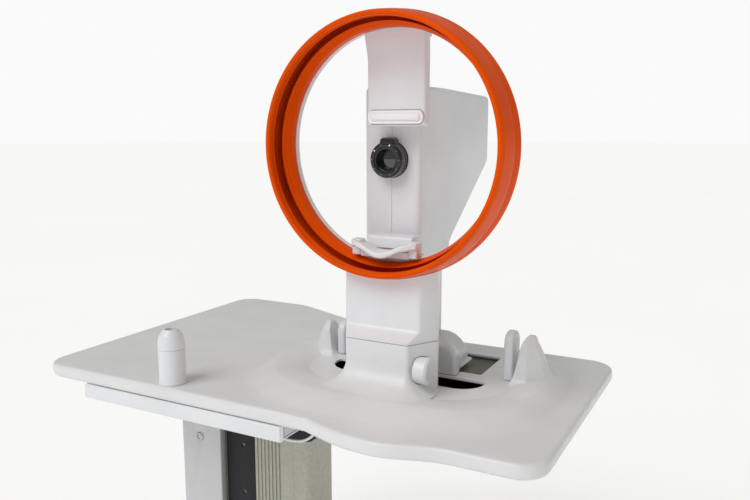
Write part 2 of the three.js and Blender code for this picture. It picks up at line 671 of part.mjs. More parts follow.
/** Domed cap on the socket, with the hole that takes an accessory's pin. */
function socketCap() {
  const seam = SOCKET_H + FIT_GAP;
  return turned([
    [0, seam - 12], [11.5, seam - 12], [11.5, seam], [SOCKET_R, seam], [SOCKET_R, seam + 10],
    [SOCKET_R - 2, seam + 20], [SOCKET_R - 7, seam + 30], [SOCKET_R - 12, seam + 36], [10, seam + 35],
    [10, seam + 15], [0, seam + 15],
  ], 'z', [SOCKET[0], SOCKET[1], socketZ], 24);
}

// ---------------------------------------------------------------- stage under and over the bowl floor
const RAIL_R = 6;
const RAIL_Z = tableBottom + 13;
const FRONT_RAIL_Y = 117;
const REAR_RAIL_Y = 300 - 12;
const CARRIAGE_HALF = 62;
const STAGE_LEFT = 14; // how far the X carriage runs to each side of rest
const STAGE_RIGHT = 72;
const SCREW_R = 4;
const X_SCREW_Y = 132;
const RISER_HALF = 34;
const Y_RAIL_START = 180;
const Y_RAIL_END = 245;
const Y_SCREW_Z = bowlFloor + 12;
const COLLAR_R = 9.5;
const STAGE_BASE = bowlFloor + 24;

/** A guide rail along X, resting in the end plates of the underframe. */
function xRail(y) {
  return bar('x', [-CAVITY_HALF + 8, y, RAIL_Z], RAIL_R, 2 * CAVITY_HALF - 16);
}

/** X carriage: bearing blocks on both rails, bridge plate, riser and the plate for the Y rails. */
function xCarriage() {
  const block = (y) => box(HEAD_X - CARRIAGE_HALF, y - 11, RAIL_Z - 10, HEAD_X + CARRIAGE_HALF, y + 11,
    RAIL_Z + 11);
  const bridge = box(HEAD_X - CARRIAGE_HALF, FRONT_RAIL_Y - 11, RAIL_Z + 7, HEAD_X + CARRIAGE_HALF,
    REAR_RAIL_Y + 11, RAIL_Z + 11);
  const nut = box(HEAD_X - 14, X_SCREW_Y - 9, RAIL_Z - 9, HEAD_X + 14, X_SCREW_Y + 9, RAIL_Z + 9);
  const riser = box(HEAD_X - RISER_HALF, Y_RAIL_START + 6, RAIL_Z + 9, HEAD_X + RISER_HALF, Y_RAIL_END - 6,
    bowlFloor + 5);
  const plate = box(HEAD_X - 60, Y_RAIL_START, bowlFloor + 3, HEAD_X + 60, Y_RAIL_END, bowlFloor + 7);
  const rails = [-1, 1].map((side) => box(HEAD_X + side * 44 - 6, Y_RAIL_START, bowlFloor + 6,
    HEAD_X + side * 44 + 6, Y_RAIL_END, bowlFloor + 13));
  const ends = [Y_RAIL_START, Y_RAIL_END - 4].map((y) => box(HEAD_X - 8, y, bowlFloor + 6, HEAD_X + 8, y + 4,
    bowlFloor + 18));
  return cut(
    joined(block(FRONT_RAIL_Y), block(REAR_RAIL_Y), bridge, nut, riser, plate, ...rails, ...ends),
    bar('x', [-CAVITY_HALF, FRONT_RAIL_Y, RAIL_Z], RAIL_R + SLIDE_GAP, 2 * CAVITY_HALF),
    bar('x', [-CAVITY_HALF, REAR_RAIL_Y, RAIL_Z], RAIL_R + SLIDE_GAP, 2 * CAVITY_HALF),
    bar('x', [-CAVITY_HALF, X_SCREW_Y, RAIL_Z], SCREW_R + SLIDE_GAP, 2 * CAVITY_HALF),
    bar('y', [HEAD_X, Y_RAIL_START - 10, Y_SCREW_Z], SCREW_R + SLIDE_GAP, 90),
    ...screwCollars(SLIDE_GAP),
  );
}

/** Dust shield that rides on the X carriage under the window in the bowl floor. */
function dustShield() {
  const z = RAIL_Z + 11 + FIT_GAP;
  return cut(
    box(-WINDOW_HALF - STAGE_RIGHT - 1, WINDOW_FRONT - 6, z, WINDOW_HALF + STAGE_LEFT + 1, WINDOW_REAR + 6,
      z + 1.6),
    box(HEAD_X - RISER_HALF - 0.5, Y_RAIL_START + 5.5, z - 1, HEAD_X + RISER_HALF + 0.5, Y_RAIL_END - 5.5,
      z + 3),
  );
}

/** Thrust collars of the Y screw inside its end blocks, grown by a clearance for their pockets. */
function screwCollars(clearance) {
  const places = [[Y_RAIL_START + 4.5, 5.1], [Y_RAIL_END - 7.4, 2.9]];
  return places.map(([y, length]) => bar('y', [HEAD_X, y - clearance, Y_SCREW_Z], COLLAR_R + clearance,
    length + 2 * clearance));
}

/** A lead screw along an axis. */
function leadScrew(axis, start, length) {
  return bar(axis, start, SCREW_R, length, 16);
}

const Z_POST_Y = 205;
const Z_POST_TOP = 30;

/** Y carriage: runners on the Y rails, nut, base plate and the post for the head. */
function yCarriage() {
  const runner = (side) => cut(
    box(HEAD_X + side * 44 - 11, 192, bowlFloor + 8, HEAD_X + side * 44 + 11, 218, STAGE_BASE),
    box(HEAD_X + side * 44 - 6 - SLIDE_GAP, 190, bowlFloor + 5, HEAD_X + side * 44 + 6 + SLIDE_GAP, 220,
      bowlFloor + 13 + SLIDE_GAP),
  );
  const nut = cut(
    box(HEAD_X - 10, 200, Y_SCREW_Z - 4.8, HEAD_X + 10, 212, STAGE_BASE),
    bar('y', [HEAD_X, 180, Y_SCREW_Z], SCREW_R + SLIDE_GAP, 60),
  );
  const plate = box(HEAD_X - 62, 165, STAGE_BASE - 1, HEAD_X + 62, 242, STAGE_BASE + 5);
  const post = box(HEAD_X - 22, Z_POST_Y, STAGE_BASE + 3, HEAD_X + 22, Z_POST_Y + 14, Z_POST_TOP);
  const arms = [STAGE_BASE + 60, Z_POST_TOP - 8].map((z) => box(HEAD_X - 9, Z_POST_Y - 22, z, HEAD_X + 9,
    Z_POST_Y + 2, z + 8));
  return cut(
    joined(runner(1), runner(-1), nut, plate, post, ...arms),
    bar('z', [HEAD_X, Z_POST_Y - 13, STAGE_BASE + 50], SCREW_R + SLIDE_GAP, 500),
  );
}

const COVER_FRONT = 150;
const COVER_REAR = 260;
const COVER_HALF = 112;
const COVER_REAR_HALF = 98;
const COVER_H = 53;
const COVER_WALL = 3;
const COVER_LIFT = 1.2; // gap over the bowl floor
const NECK_HALF = HEAD_HALF - HEAD_WALL - 3;
const NECK_FRONT = HEAD_FRONT_Y + HEAD_WALL + 3;
const NECK_REAR = 246;
const NECK_TOP = -150;
const NECK_WALL = 2.5;

/** Arched cover over the Y stage. */
function stageCover() {
  const shape = (inset) => {
    const bottom = bowlFloor + COVER_LIFT - (inset ? 5 : 0);
    const arch = rounded([
      [HEAD_X - COVER_HALF + inset, bottom, 0],
      [HEAD_X + COVER_HALF - inset, bottom, 0],
      [HEAD_X + COVER_HALF - inset, bowlFloor + COVER_H - inset, 34 - inset],
      [HEAD_X - COVER_HALF + inset, bowlFloor + COVER_H - inset, 34 - inset],
    ], 5);
    const plan = rounded([
      [HEAD_X - COVER_HALF + inset, COVER_FRONT + inset, 12],
      [HEAD_X + COVER_HALF - inset, COVER_FRONT + inset, 12],
      [HEAD_X + COVER_REAR_HALF - inset, COVER_REAR - inset, 16],
      [HEAD_X - COVER_REAR_HALF + inset, COVER_REAR - inset, 16],
    ], 4);
    return prismY(arch, COVER_FRONT - 5, COVER_REAR + 5).intersect(prismZ(plan, bowlFloor - 10,
      bowlFloor + 90));
  };
  const way = rectangle(HEAD_X - NECK_HALF + COVER_WALL, NECK_FRONT + COVER_WALL,
    HEAD_X + NECK_HALF - COVER_WALL, NECK_REAR - COVER_WALL, 6);
  return cut(shape(0), shape(COVER_WALL), prismZ(way, bowlFloor + COVER_H - 13, bowlFloor + COVER_H + 7));
}

// ---------------------------------------------------------------- optical head
const HEAD_BOTTOM = -205;

/** Neck cover between the stage cover and the head. */
function neckCover() {
  const plan = (inset) => rectangle(HEAD_X - NECK_HALF + inset, NECK_FRONT + inset,
    HEAD_X + NECK_HALF - inset, NECK_REAR - inset, 9);
  const bottom = bowlFloor + COVER_H + FIT_GAP;
  return cut(prismZ(plan(0), bottom, NECK_TOP), prismZ(plan(NECK_WALL), bottom - 1, NECK_TOP + 1));
}

/** The head's closed outline, drawn in by an inset. */
function headForm(inset) {
  const side = rounded([
    [HEAD_FRONT_Y + inset, HEAD_BOTTOM - (inset ? 5 : 0), 0],
    [253 - inset, HEAD_BOTTOM - (inset ? 5 : 0), 0],
    [251 - inset, -188 + inset * 0.4, 20],
    [HEAD_REAR_Y - 14 - inset, -48 + inset, 50],
    [HEAD_REAR_Y + 2 - inset, -28 + inset, 12],
    [HEAD_REAR_Y - inset, HEAD_TOP - 9 - inset, 12],
    [235, HEAD_TOP - inset, 60],
    [HEAD_FRONT_Y + inset, HEAD_TOP - inset, 14],
  ], 3);
  const plan = rounded([
    [HEAD_X - HEAD_HALF + inset, HEAD_FRONT_Y + inset, 9],
    [HEAD_X + HEAD_HALF - inset, HEAD_FRONT_Y + inset, 9],
    [HEAD_X + HEAD_HALF + 1 - inset, 235, 12],
    [HEAD_X + HEAD_REAR_HALF - inset, HEAD_REAR_Y - inset, 14],
    [HEAD_X - HEAD_REAR_HALF + inset, HEAD_REAR_Y - inset, 14],
    [HEAD_X - HEAD_HALF - 1 + inset, 235, 12],
  ], 3);
  return prismX(side, HEAD_X - 120, HEAD_X + 120).intersect(prismZ(plan, HEAD_BOTTOM - 10, HEAD_TOP + 10));
}

/** One half shell of the head; side is +1 on the right and -1 on the left. */
function headShell(side) {
  const half = side > 0
    ? box(HEAD_X + 0.3, 0, -400, HEAD_X + 200, 600, 300)
    : box(HEAD_X - 200, 0, -400, HEAD_X - 0.3, 600, 300);
  const port = bar('y', [HEAD_X, HEAD_FRONT_Y - 5, LENS_Z], LENS_R + 1, 20, 28);
  return cut(headForm(0), headForm(HEAD_WALL), port).intersect(half);
}

/** Objective barrel with a raised lobe on its top. */
function objectiveBarrel() {
  const front = HEAD_FRONT_Y - LENS_PROUD;
  const tube = turned([
    [19, 0.5], [LENS_R - 3, 0], [LENS_R, 3], [LENS_R, LENS_PROUD + 8], [24, LENS_PROUD + 8], [24, 88],
    [20, 88], [20, 12], [17, 9],
  ], 'y', [HEAD_X, front, LENS_Z], 28);
  const lobe = prismY(rounded([
    [HEAD_X - 15, LENS_Z + 20, 0], [HEAD_X + 15, LENS_Z + 20, 0], [HEAD_X + 12, LENS_Z + LENS_R + 8, 7],
    [HEAD_X - 12, LENS_Z + LENS_R + 8, 7],
  ], 4), front + 5, HEAD_FRONT_Y - 1);
  const bore = bar('y', [HEAD_X, front - 5, LENS_Z], 20.5, 60, 28);
  return joined(tube, lobe.subtract(bore));
}

/** A lens as a biconvex disc in the barrel. */
function lens(front, radius, thick, bulge) {
  return turned([
    [0, -bulge], [radius * 0.55, -bulge * 0.7], [radius, 0], [radius, thick],
    [radius * 0.55, thick + bulge * 0.5],
    [0, thick + bulge],
  ], 'y', [HEAD_X, front, LENS_Z], 32);
}

/** Thin ring that holds the fixation lights around the front lens. */
function lightRing() {
  const front = HEAD_FRONT_Y - LENS_PROUD;
  return turned([[22, -1.2], [27, -1.2], [27, -0.3], [22, -0.3]], 'y', [HEAD_X, front, LENS_Z], 28);
}

const BENCH_Z = LENS_Z - 34;

/** Optical bench: plate, barrel clamp, Z runner and nut. */
function opticalBench() {
  const plate = box(HEAD_X - 44, HEAD_FRONT_Y + 12, BENCH_Z - 5, HEAD_X + 44, 384, BENCH_Z);
  const clamp = cut(
    box(HEAD_X - 34, 140, BENCH_Z - 1, HEAD_X + 34, 165, LENS_Z + 32),
    bar('y', [HEAD_X, 130, LENS_Z], 24.4, 50, 28),
  );
  const runner = box(HEAD_X - 34, Z_POST_Y - 27, BENCH_Z - 34, HEAD_X + 34, Z_POST_Y + 26, BENCH_Z - 3);
  const runnerBore = box(HEAD_X - 22 - SLIDE_GAP, Z_POST_Y - SLIDE_GAP, BENCH_Z - 40,
    HEAD_X + 22 + SLIDE_GAP, Z_POST_Y + 14 + SLIDE_GAP, BENCH_Z + 5);
  const screwBore = bar('z', [HEAD_X, Z_POST_Y - 13, BENCH_Z - 40], SCREW_R + SLIDE_GAP, 60);
  const window = box(HEAD_X - 23, Z_POST_Y - 26, BENCH_Z - 6, HEAD_X + 23, Z_POST_Y + 16, LENS_Z + 100);
  const rib = (side) => box(HEAD_X + side * 40 - 4, 150, BENCH_Z - 1, HEAD_X + side * 40 + 4, 382,
    BENCH_Z + 14);
  return cut(joined(plate, clamp, runner, rib(1), rib(-1)), runnerBore, screwBore, window);
}

/** Scanner and camera block at the rear of the bench. */
function scannerBlock() {
  const base = box(HEAD_X - 34, 235, BENCH_Z + FIT_GAP, HEAD_X + 34, 378, BENCH_Z + 62);
  const tube = bar('y', [HEAD_X, 226, LENS_Z], 17, 12, 28);
  const turret = bar('z', [HEAD_X + 8, 330, BENCH_Z + 60], 20, 30, 28);
  return joined(base, tube, turret);
}

// ---------------------------------------------------------------- underframe, lift, cabinet and tray
const PLATE_THICK = 4;
const BEAM_H = 22;
const frameTop = tableBottom - FIT_GAP;
const beamBottom = frameTop - PLATE_THICK - BEAM_H;
const driveTop = beamBottom - FIT_GAP;
const driveBottom = driveTop - DRIVE_HEIGHT + BEAM_H + PLATE_THICK;
const profileTop = driveBottom - FIT_GAP;
const profileBottom = profileTop - LIFT_UPPER_LEN;

/** Steel underframe: plate, beams and the end plates of the X rails. */
function underframe() {
  const plate = box(TRAY_RIGHT + 8, 4, frameTop - PLATE_THICK, 235, 318, frameTop);
  const along = [118, 172].map((y) => box(-600, y - 13, beamBottom, 292, y + 13,
    frameTop - PLATE_THICK + 1));
  const across = [-588, -390, -150, 60, 280].map((x) => box(x - 12, 100, beamBottom, x + 12, 330,
    frameTop - PLATE_THICK + 1));
  const lift = box(-400, 100, frameTop - PLATE_THICK, TRAY_RIGHT + 10, 318, frameTop);
  const ends = [-1, 1].map((side) => box(side * (CAVITY_HALF - 6) - 4, FRONT_RAIL_Y - 14, frameTop - 1,
    side * (CAVITY_HALF - 6) + 4, REAR_RAIL_Y + 14, RAIL_Z + 10));
  const holes = [[FRONT_RAIL_Y, RAIL_R], [REAR_RAIL_Y, RAIL_R], [X_SCREW_Y, SCREW_R]].map(
    ([y, r]) => bar('x', [-CAVITY_HALF - 20, y, RAIL_Z], r + FIT_GAP, 2 * CAVITY_HALF + 40));
  return cut(joined(plate, ...along, ...across, lift, ...ends), ...holes);
}

/** Outline of the upper lift profile: fluted on the left of its front, smooth on the right. */
function fluteOutline() {
  const front = LIFT_Y - LIFT_D / 2;
  const rear = LIFT_Y + LIFT_D / 2;
  const left = LIFT_X - LIFT_W / 2;
  const right = LIFT_X + LIFT_W / 2;
  const flutes = [];
  for (let i = 0; i < 7; i += 1) {
    const x = left + 7 + i * 9;
    flutes.push([x, front, 0], [x + 0.8, front + 2.5, 0], [x + 3.6, front + 2.5, 0], [x + 4.4, front, 0]);
  }
  return rounded([
    [left, front, 3], ...flutes, [right, front, 16], [right, rear, 6], [left, rear, 6],
  ], 3);
}

const LOWER_W = LIFT_W - 2 * (PROFILE_WALL + PROFILE_GAP);
const LOWER_D = LIFT_D - 2 * (PROFILE_WALL + PROFILE_GAP);

/** Upper lift profile, fixed under the drive housing. */
function upperProfile() {
  const [halfW, halfD] = [LOWER_W / 2 + PROFILE_GAP, LOWER_D / 2 + PROFILE_GAP];
  const bore = rectangle(LIFT_X - halfW, LIFT_Y - halfD, LIFT_X + halfW, LIFT_Y + halfD, 5);
  return cut(prismZ(fluteOutline(), profileBottom, profileTop), prismZ(bore, profileBottom - 1,
    profileTop + 1));
}

const BASE_HEIGHT = 136;
const BASE_TOP = floorZ + BASE_HEIGHT;

/** Lower lift profile, standing on the base. */
function lowerProfile() {
  const outline = (inset) => rectangle(LIFT_X - LOWER_W / 2 + inset, LIFT_Y - LOWER_D / 2 + inset,
    LIFT_X + LOWER_W / 2 - inset, LIFT_Y + LOWER_D / 2 - inset, 4);
  const top = driveBottom - LIFT_DOWN - 8;
  return cut(prismZ(outline(0), BASE_TOP + FIT_GAP, top), prismZ(outline(3), BASE_TOP - 1, top + 1));
}

/** Drive housing with the actuator's outer tube. */
function liftDrive() {
  const shape = rounded([
    [LIFT_X - LIFT_W / 2 - 4, LIFT_Y - LIFT_D / 2 - 2, 10], [LIFT_X, LIFT_Y - LIFT_D / 2 - 12, 60],
    [LIFT_X + LIFT_W / 2 + 4, LIFT_Y - LIFT_D / 2 - 2, 10],
    [LIFT_X + LIFT_W / 2 + 4, LIFT_Y + LIFT_D / 2 + 4, 10],
    [LIFT_X - LIFT_W / 2 - 4, LIFT_Y + LIFT_D / 2 + 4, 10],
  ], 3);
  const tubeEnd = profileBottom + 15;
  const tube = bar('z', [LIFT_X, LIFT_Y, tubeEnd], 17, driveBottom - tubeEnd + 5, 24);
  const bore = bar('z', [LIFT_X, LIFT_Y, tubeEnd - 1], 12, driveBottom - tubeEnd, 24);
  return joined(prismZ(shape, driveBottom, driveTop), tube).subtract(bore);
}

/** Actuator rod on the base, its flange clear of the lower profile's walls. */
function actuatorRod() {
  const top = driveBottom - LIFT_DOWN - 22;
  const flange = LOWER_D / 2 - 10;
  return turned([[0, 0], [flange, 0], [flange, 6], [11, 6], [11, top - BASE_TOP], [0, top - BASE_TOP]], 'z',
    [LIFT_X, LIFT_Y, BASE_TOP + FIT_GAP], 24);
}

const CABINET_WALL = 2;
const cabinetTop = driveTop;
const cabinetBottom = cabinetTop - CABINET_H;
const cabinetFront = LIFT_Y - CABINET_D / 2;
const cabinetRear = LIFT_Y + CABINET_D / 2;

/** Electronics cabinet, open at the rear. */
function cabinetShell() {
  const outer = prismZ(rounded([
    [CABINET_X - CABINET_W / 2, cabinetFront, 14], [CABINET_X + CABINET_W / 2, cabinetFront, 3],
    [CABINET_X + CABINET_W / 2, cabinetRear, 0], [CABINET_X - CABINET_W / 2, cabinetRear, 0],
  ]), cabinetBottom, cabinetTop);
  const inner = box(CABINET_X - CABINET_W / 2 + CABINET_WALL, cabinetFront + 14,
    cabinetBottom + CABINET_WALL, CABINET_X + CABINET_W / 2 - CABINET_WALL, cabinetRear + 1,
    cabinetTop - CABINET_WALL);
  const front = box(CABINET_X - CABINET_W / 2 + 14, cabinetFront + CABINET_WALL,
    cabinetBottom + CABINET_WALL, CABINET_X + CABINET_W / 2 - CABINET_WALL, cabinetFront + 16,
    cabinetTop - CABINET_WALL);
  const buttonHole = bar('y', [CABINET_X, cabinetFront - 3, cabinetTop - 150], 9.5, 12, 24);
  return cut(outer, inner, front, buttonHole);
}

/** Rear panel of the cabinet with cooling slots. */
function cabinetPanel() {
  const panel = box(CABINET_X - CABINET_W / 2 + 1, cabinetRear + FIT_GAP, cabinetBottom + 1,
    CABINET_X + CABINET_W / 2 - 1, cabinetRear + FIT_GAP + 1.6, cabinetTop - 1);
  const slots = [];
  for (let i = 0; i < 10; i += 1) {
    const z = cabinetBottom + 60 + i * 12;
    slots.push(box(CABINET_X - 36, cabinetRear - 2, z, CABINET_X + 36, cabinetRear + 6, z + 5));
  }
  return cut(panel, ...slots);
}

/** Computer tray with its boards and power supply as one drawer unit. */
function computerUnit() {
  const x0 = CABINET_X - CABINET_W / 2 + CABINET_WALL + 1;
  const x1 = CABINET_X + CABINET_W / 2 - CABINET_WALL - 1;
  const plate = box(x0, cabinetFront + 22, cabinetBottom + 8, x0 + 3, cabinetRear - 4, cabinetTop - 12);
  const supply = box(x0 + 2, cabinetFront + 24, cabinetBottom + 12, x1 - 14, cabinetRear - 6,
    cabinetBottom + 150);
  const board = box(x0 + 2, cabinetFront + 26, cabinetBottom + 170, x0 + 12, cabinetRear - 8,
    cabinetTop - 30);
  const cooler = box(x0 + 10, cabinetFront + 34, cabinetBottom + 210, x0 + 52, cabinetRear - 16,
    cabinetBottom + 270);
  return joined(plate, supply, board, cooler);
}

/** Power button in the cabinet front. */
function powerButton() {
  return turned([[0, -3], [7, -3], [9, -1.5], [9, 6], [12, 6], [12, 8], [0, 8]], 'y',
    [CABINET_X, cabinetFront, cabinetTop - 150], 24);
}

/** Fixed tray rail; side is +1 at the tray's right end and -1 at its left end. */
function trayRail(side) {
  const end = side > 0 ? TRAY_RIGHT : TRAY_LEFT;
  const [inner, outer] = [end - side * 14, end - side * 2];
  const web = end - side * 6;
  const rail = box(Math.min(inner, outer), TABLE_FRONT + 16, tableBottom - 24, Math.max(inner, outer),
    TABLE_FRONT + 16 + TRAY_DEPTH, tableBottom - FIT_GAP);
  const channel = box(Math.min(inner - side * 2, web), TABLE_FRONT, tableBottom - 16,
    Math.max(inner - side * 2, web), TABLE_FRONT + 30 + TRAY_DEPTH, tableBottom - 9);
  return cut(rail, channel);
}

/** Pull-out keyboard tray with its front bar and the tongues that run in the rails. */
function keyboardTray() {
  const top = tableBottom - 1.5;
  const front = prismX(rounded([
    [TABLE_FRONT, top - TRAY_FRONT_H, 3], [TABLE_FRONT + 12, top - TRAY_FRONT_H, 0],
    [TABLE_FRONT + 12, top, 0],
    [TABLE_FRONT, top, 3],
  ], 3), TRAY_LEFT, TRAY_RIGHT);
  const shelf = box(TRAY_LEFT + 2, TABLE_FRONT + 10, top - TRAY_FRONT_H, TRAY_RIGHT - 2,
    TABLE_FRONT + TRAY_DEPTH, top - TRAY_FRONT_H + 2.5);
  const parts = [-1, 1].map((side) => {
    const end = side > 0 ? TRAY_RIGHT : TRAY_LEFT;
    const [a, b, c] = [end - side * 20, end - side * 15, end - side * 6.8];
    const web = box(Math.min(a, b), TABLE_FRONT + 10, top - TRAY_FRONT_H + 1, Math.max(a, b),
      TABLE_FRONT + TRAY_DEPTH, tableBottom - 10);
    const tongue = box(Math.min(a, c), TABLE_FRONT + 18, tableBottom - 15, Math.max(a, c),
      TABLE_FRONT + TRAY_DEPTH, tableBottom - 10);
    return web.add(tongue);
  });
  return joined(front, shelf, ...parts);
}

const ROCKER = [40, TABLE_FRONT + 34];

/** Rocker that raises and lowers the table, in its small box under the front edge. */
function liftRocker() {
  const y = ROCKER[1];
  const paddle = prismX([[y - 12, -10], [y, -12.5], [y + 12, -10], [y + 11, -6.5], [y - 11, -6.5]].map(
    ([yy, zz]) => new THREE.Vector2(yy, tableBottom + zz)).reverse(), ROCKER[0] - 8, ROCKER[0] + 8);
  return paddle.add(bar('x', [ROCKER[0] - 11, y, tableBottom - 7.5], 2, 22, 12));
}

/** Ears under the tabletop that hold the rocker's pin. */
function rockerEars() {
  const ear = (side) => cut(
    box(ROCKER[0] + side * 12 - 2.5, ROCKER[1] - 14, tableBottom - 12, ROCKER[0] + side * 12 + 2.5,
      ROCKER[1] + 14, tableBottom + 1),
    bar('x', [ROCKER[0] - 20, ROCKER[1], tableBottom - 7.5], 2.3, 40, 12),
  );
  return joined(ear(1), ear(-1));
}

/** Lead from the drive housing to the cabinet side of the underframe. */
function tableLead() {
  const y = LIFT_Y - LIFT_D / 2 - 24;
  const route = new THREE.CatmullRomCurve3([
    new THREE.Vector3(-330, y + 6, driveTop - 30), new THREE.Vector3(-300, y + 2, driveTop - 66),
    new THREE.Vector3(-262, y, driveTop - 92), new THREE.Vector3(-220, y, driveTop - 98),
    new THREE.Vector3(-184, y + 2, driveTop - 86), new THREE.Vector3(-160, y + 6, driveTop - 50),
    new THREE.Vector3(-152, y + 8, driveTop - 6),
  ]);
  const section = new THREE.Shape(circle(0, 0, 2.6, 8));
  return solid(new THREE.ExtrudeGeometry(section, { steps: 18, extrudePath: route, bevelEnabled: false }));
}

// ---------------------------------------------------------------- base and castors
const BASE_TUBE_W = 60;
const BASE_TUBE_H = 38;
const FOOT_Y0 = LIFT_Y - BASE_FOOT_LEN / 2;
const FOOT_Y1 = LIFT_Y + BASE_FOOT_LEN / 2;

/** Base frame: two feet, a cross beam and the pad for the lift. */
function baseFrame() {
  const foot = (x) => prismZ(rectangle(x - BASE_TUBE_W / 2, FOOT_Y0, x + BASE_TUBE_W / 2, FOOT_Y1, 18),
    BASE_TOP - BASE_TUBE_H, BASE_TOP - 2);
  const beam = box(BASE_LEFT, LIFT_Y - 45, BASE_TOP - BASE_TUBE_H + 2, BASE_RIGHT, LIFT_Y + 45,
    BASE_TOP - 4);
  const pad = prismZ(rectangle(LIFT_X - 90, LIFT_Y - 60, LIFT_X + 90, LIFT_Y + 60, 10), BASE_TOP - 6,
    BASE_TOP);
  return joined(foot(BASE_LEFT), foot(BASE_RIGHT), beam, pad);
}

const CASTOR_TOP = BASE_TOP - BASE_TUBE_H - FIT_GAP;
const CASTOR_WIDTH = 24;
const castorPlaces = {
  front_left: [BASE_LEFT, FOOT_Y0 + 32],
  front_right: [BASE_RIGHT, FOOT_Y0 + 32],
  rear_left: [BASE_LEFT, FOOT_Y1 - 72],
  rear_right: [BASE_RIGHT, FOOT_Y1 - 72],
};
const axleZ = floorZ + CASTOR_R;
const PEDAL_Z = floorZ + 2 * CASTOR_R + 8;
const PEDAL_Y = CASTOR_TRAIL - 2;

/** Swivel fork of a castor with its axle pin. */
function castorFork([x, y]) {
  const top = turned([[0, 0], [24, 0], [27, 3], [27, CASTOR_TOP - floorZ - 88],
    [0, CASTOR_TOP - floorZ - 88]], 'z', [x, y, floorZ + 88], 16);
  const cheek = rounded([
    [y - 20, floorZ + 92, 0], [y - 18, floorZ + 76, 6], [y + CASTOR_TRAIL - 9, axleZ - 8, 8],
    [y + CASTOR_TRAIL + 9, axleZ - 8, 8], [y + CASTOR_TRAIL + 8, floorZ + 92, 0],
  ], 3);
  const leg = (side) => prismX(cheek, x + side * 15.5 - 2, x + side * 15.5 + 2);
  const crown = box(x - 15.5, y - 19, floorZ + 80, x + 15.5, y + 8, floorZ + 91);
  const pin = bar('x', [x - 17, y + CASTOR_TRAIL, axleZ], 4, 34, 14);
  const pivot = bar('x', [x - 30, y + PEDAL_Y, PEDAL_Z], 2.4, 60, 8);
  return joined(top, leg(1), leg(-1), crown, pin).subtract(pivot);
}

/** Castor wheel with a soft tread, open on its axle. */
function castorWheel([x, y]) {
  const half = CASTOR_WIDTH / 2;
  return turned([
    [4.4, -half], [12, -half], [14, -half + 3], [28, -half + 3], [CASTOR_R - 4, -half + 1],
    [CASTOR_R, -half + 5], [CASTOR_R, half - 5], [CASTOR_R - 4, half - 1], [28, half - 3],
    [14, half - 3], [12, half], [4.4, half],
  ], 'x', [x, y + CASTOR_TRAIL, axleZ], 20);
}

/** Brake pedal on a castor. */
function castorBrake([x, y]) {
  const hub = bar('x', [x - 12.6, y + PEDAL_Y, PEDAL_Z], 5, 25.2, 10);
  const pin = bar('x', [x - 16.5, y + PEDAL_Y, PEDAL_Z], 2, 33, 8);
  const arm = prismX(rounded([
    [y + PEDAL_Y + 1, PEDAL_Z - 3, 0], [y + PEDAL_Y + 36, PEDAL_Z - 1, 2],
    [y + PEDAL_Y + 38, PEDAL_Z + 4, 2],
    [y + PEDAL_Y + 12, PEDAL_Z + 4, 4], [y + PEDAL_Y + 1, PEDAL_Z + 3, 0],
  ], 3), x - 12, x + 12);
  return joined(hub, pin, arm);
}

// ---------------------------------------------------------------- assembly
const base = body();
add(base, 'base_frame', baseFrame(), finish.frame);
add(base, 'lift_lower_profile', lowerProfile(), finish.aluminium);
add(base, 'actuator_rod', actuatorRod(), finish.steel);
for (const [place, spot] of Object.entries(castorPlaces)) {
  const castor = body();
  add(castor, `castor_fork_${place}`, castorFork(spot), finish.steel);
  add(castor, `castor_wheel_${place}`, castorWheel(spot), finish.rubber);
  add(castor, `castor_brake_${place}`, castorBrake(spot), finish.black);
}

const table = body();
add(table, 'tabletop', tabletop().add(rockerEars()), finish.top);
add(table, 'underframe', underframe(), finish.frame);
add(table, 'lift_upper_profile', upperProfile(), finish.aluminium);
add(table, 'lift_drive', liftDrive(), finish.black);
add(table, 'cabinet_shell', cabinetShell(), finish.cabinet);
add(table, 'cabinet_rear_panel', cabinetPanel(), finish.cabinet);
add(table, 'computer_unit', computerUnit(), finish.board);
add(table, 'power_button', powerButton(), finish.black);
add(table, 'lift_rocker', liftRocker(), finish.black);
add(table, 'pole_socket', poleSocket(), finish.shell);
add(table, 'socket_cap', socketCap(), finish.shell);
add(table, 'tray_rail_left', trayRail(-1), finish.steel);
add(table, 'tray_rail_right', trayRail(1), finish.steel);
add(table, 'table_lead', tableLead(), finish.lead);
add(table, 'hand_grip_left', handGrip(-1), finish.shell);
add(table, 'hand_grip_right', handGrip(1), finish.shell);
add(table, 'column_post', columnPost(), finish.steel);
add(table, 'column_shell', upperShell(), finish.shell);
add(table, 'rear_clip', rearClip(), finish.black);
add(table, 'head_ring', headRing(), finish.orange);
add(table, 'back_ring', backRing(), finish.shell);
add(table, 'forehead_bridge', foreheadBridge(), finish.shell);
add(table, 'forehead_pad', foreheadPad(), finish.pad);
add(table, 'front_x_rail', xRail(FRONT_RAIL_Y), finish.steel);
add(table, 'rear_x_rail', xRail(REAR_RAIL_Y), finish.steel);
const tray = body();
add(tray, 'keyboard_tray', keyboardTray(), finish.shell);
const chin = body();
add(chin, 'chin_carriage', chinCarriage(), finish.shell);
add(chin, 'chin_cup', chinCup(), finish.shell);
const knob = body();
add(knob, 'chin_knob', chinKnob(), finish.shell);

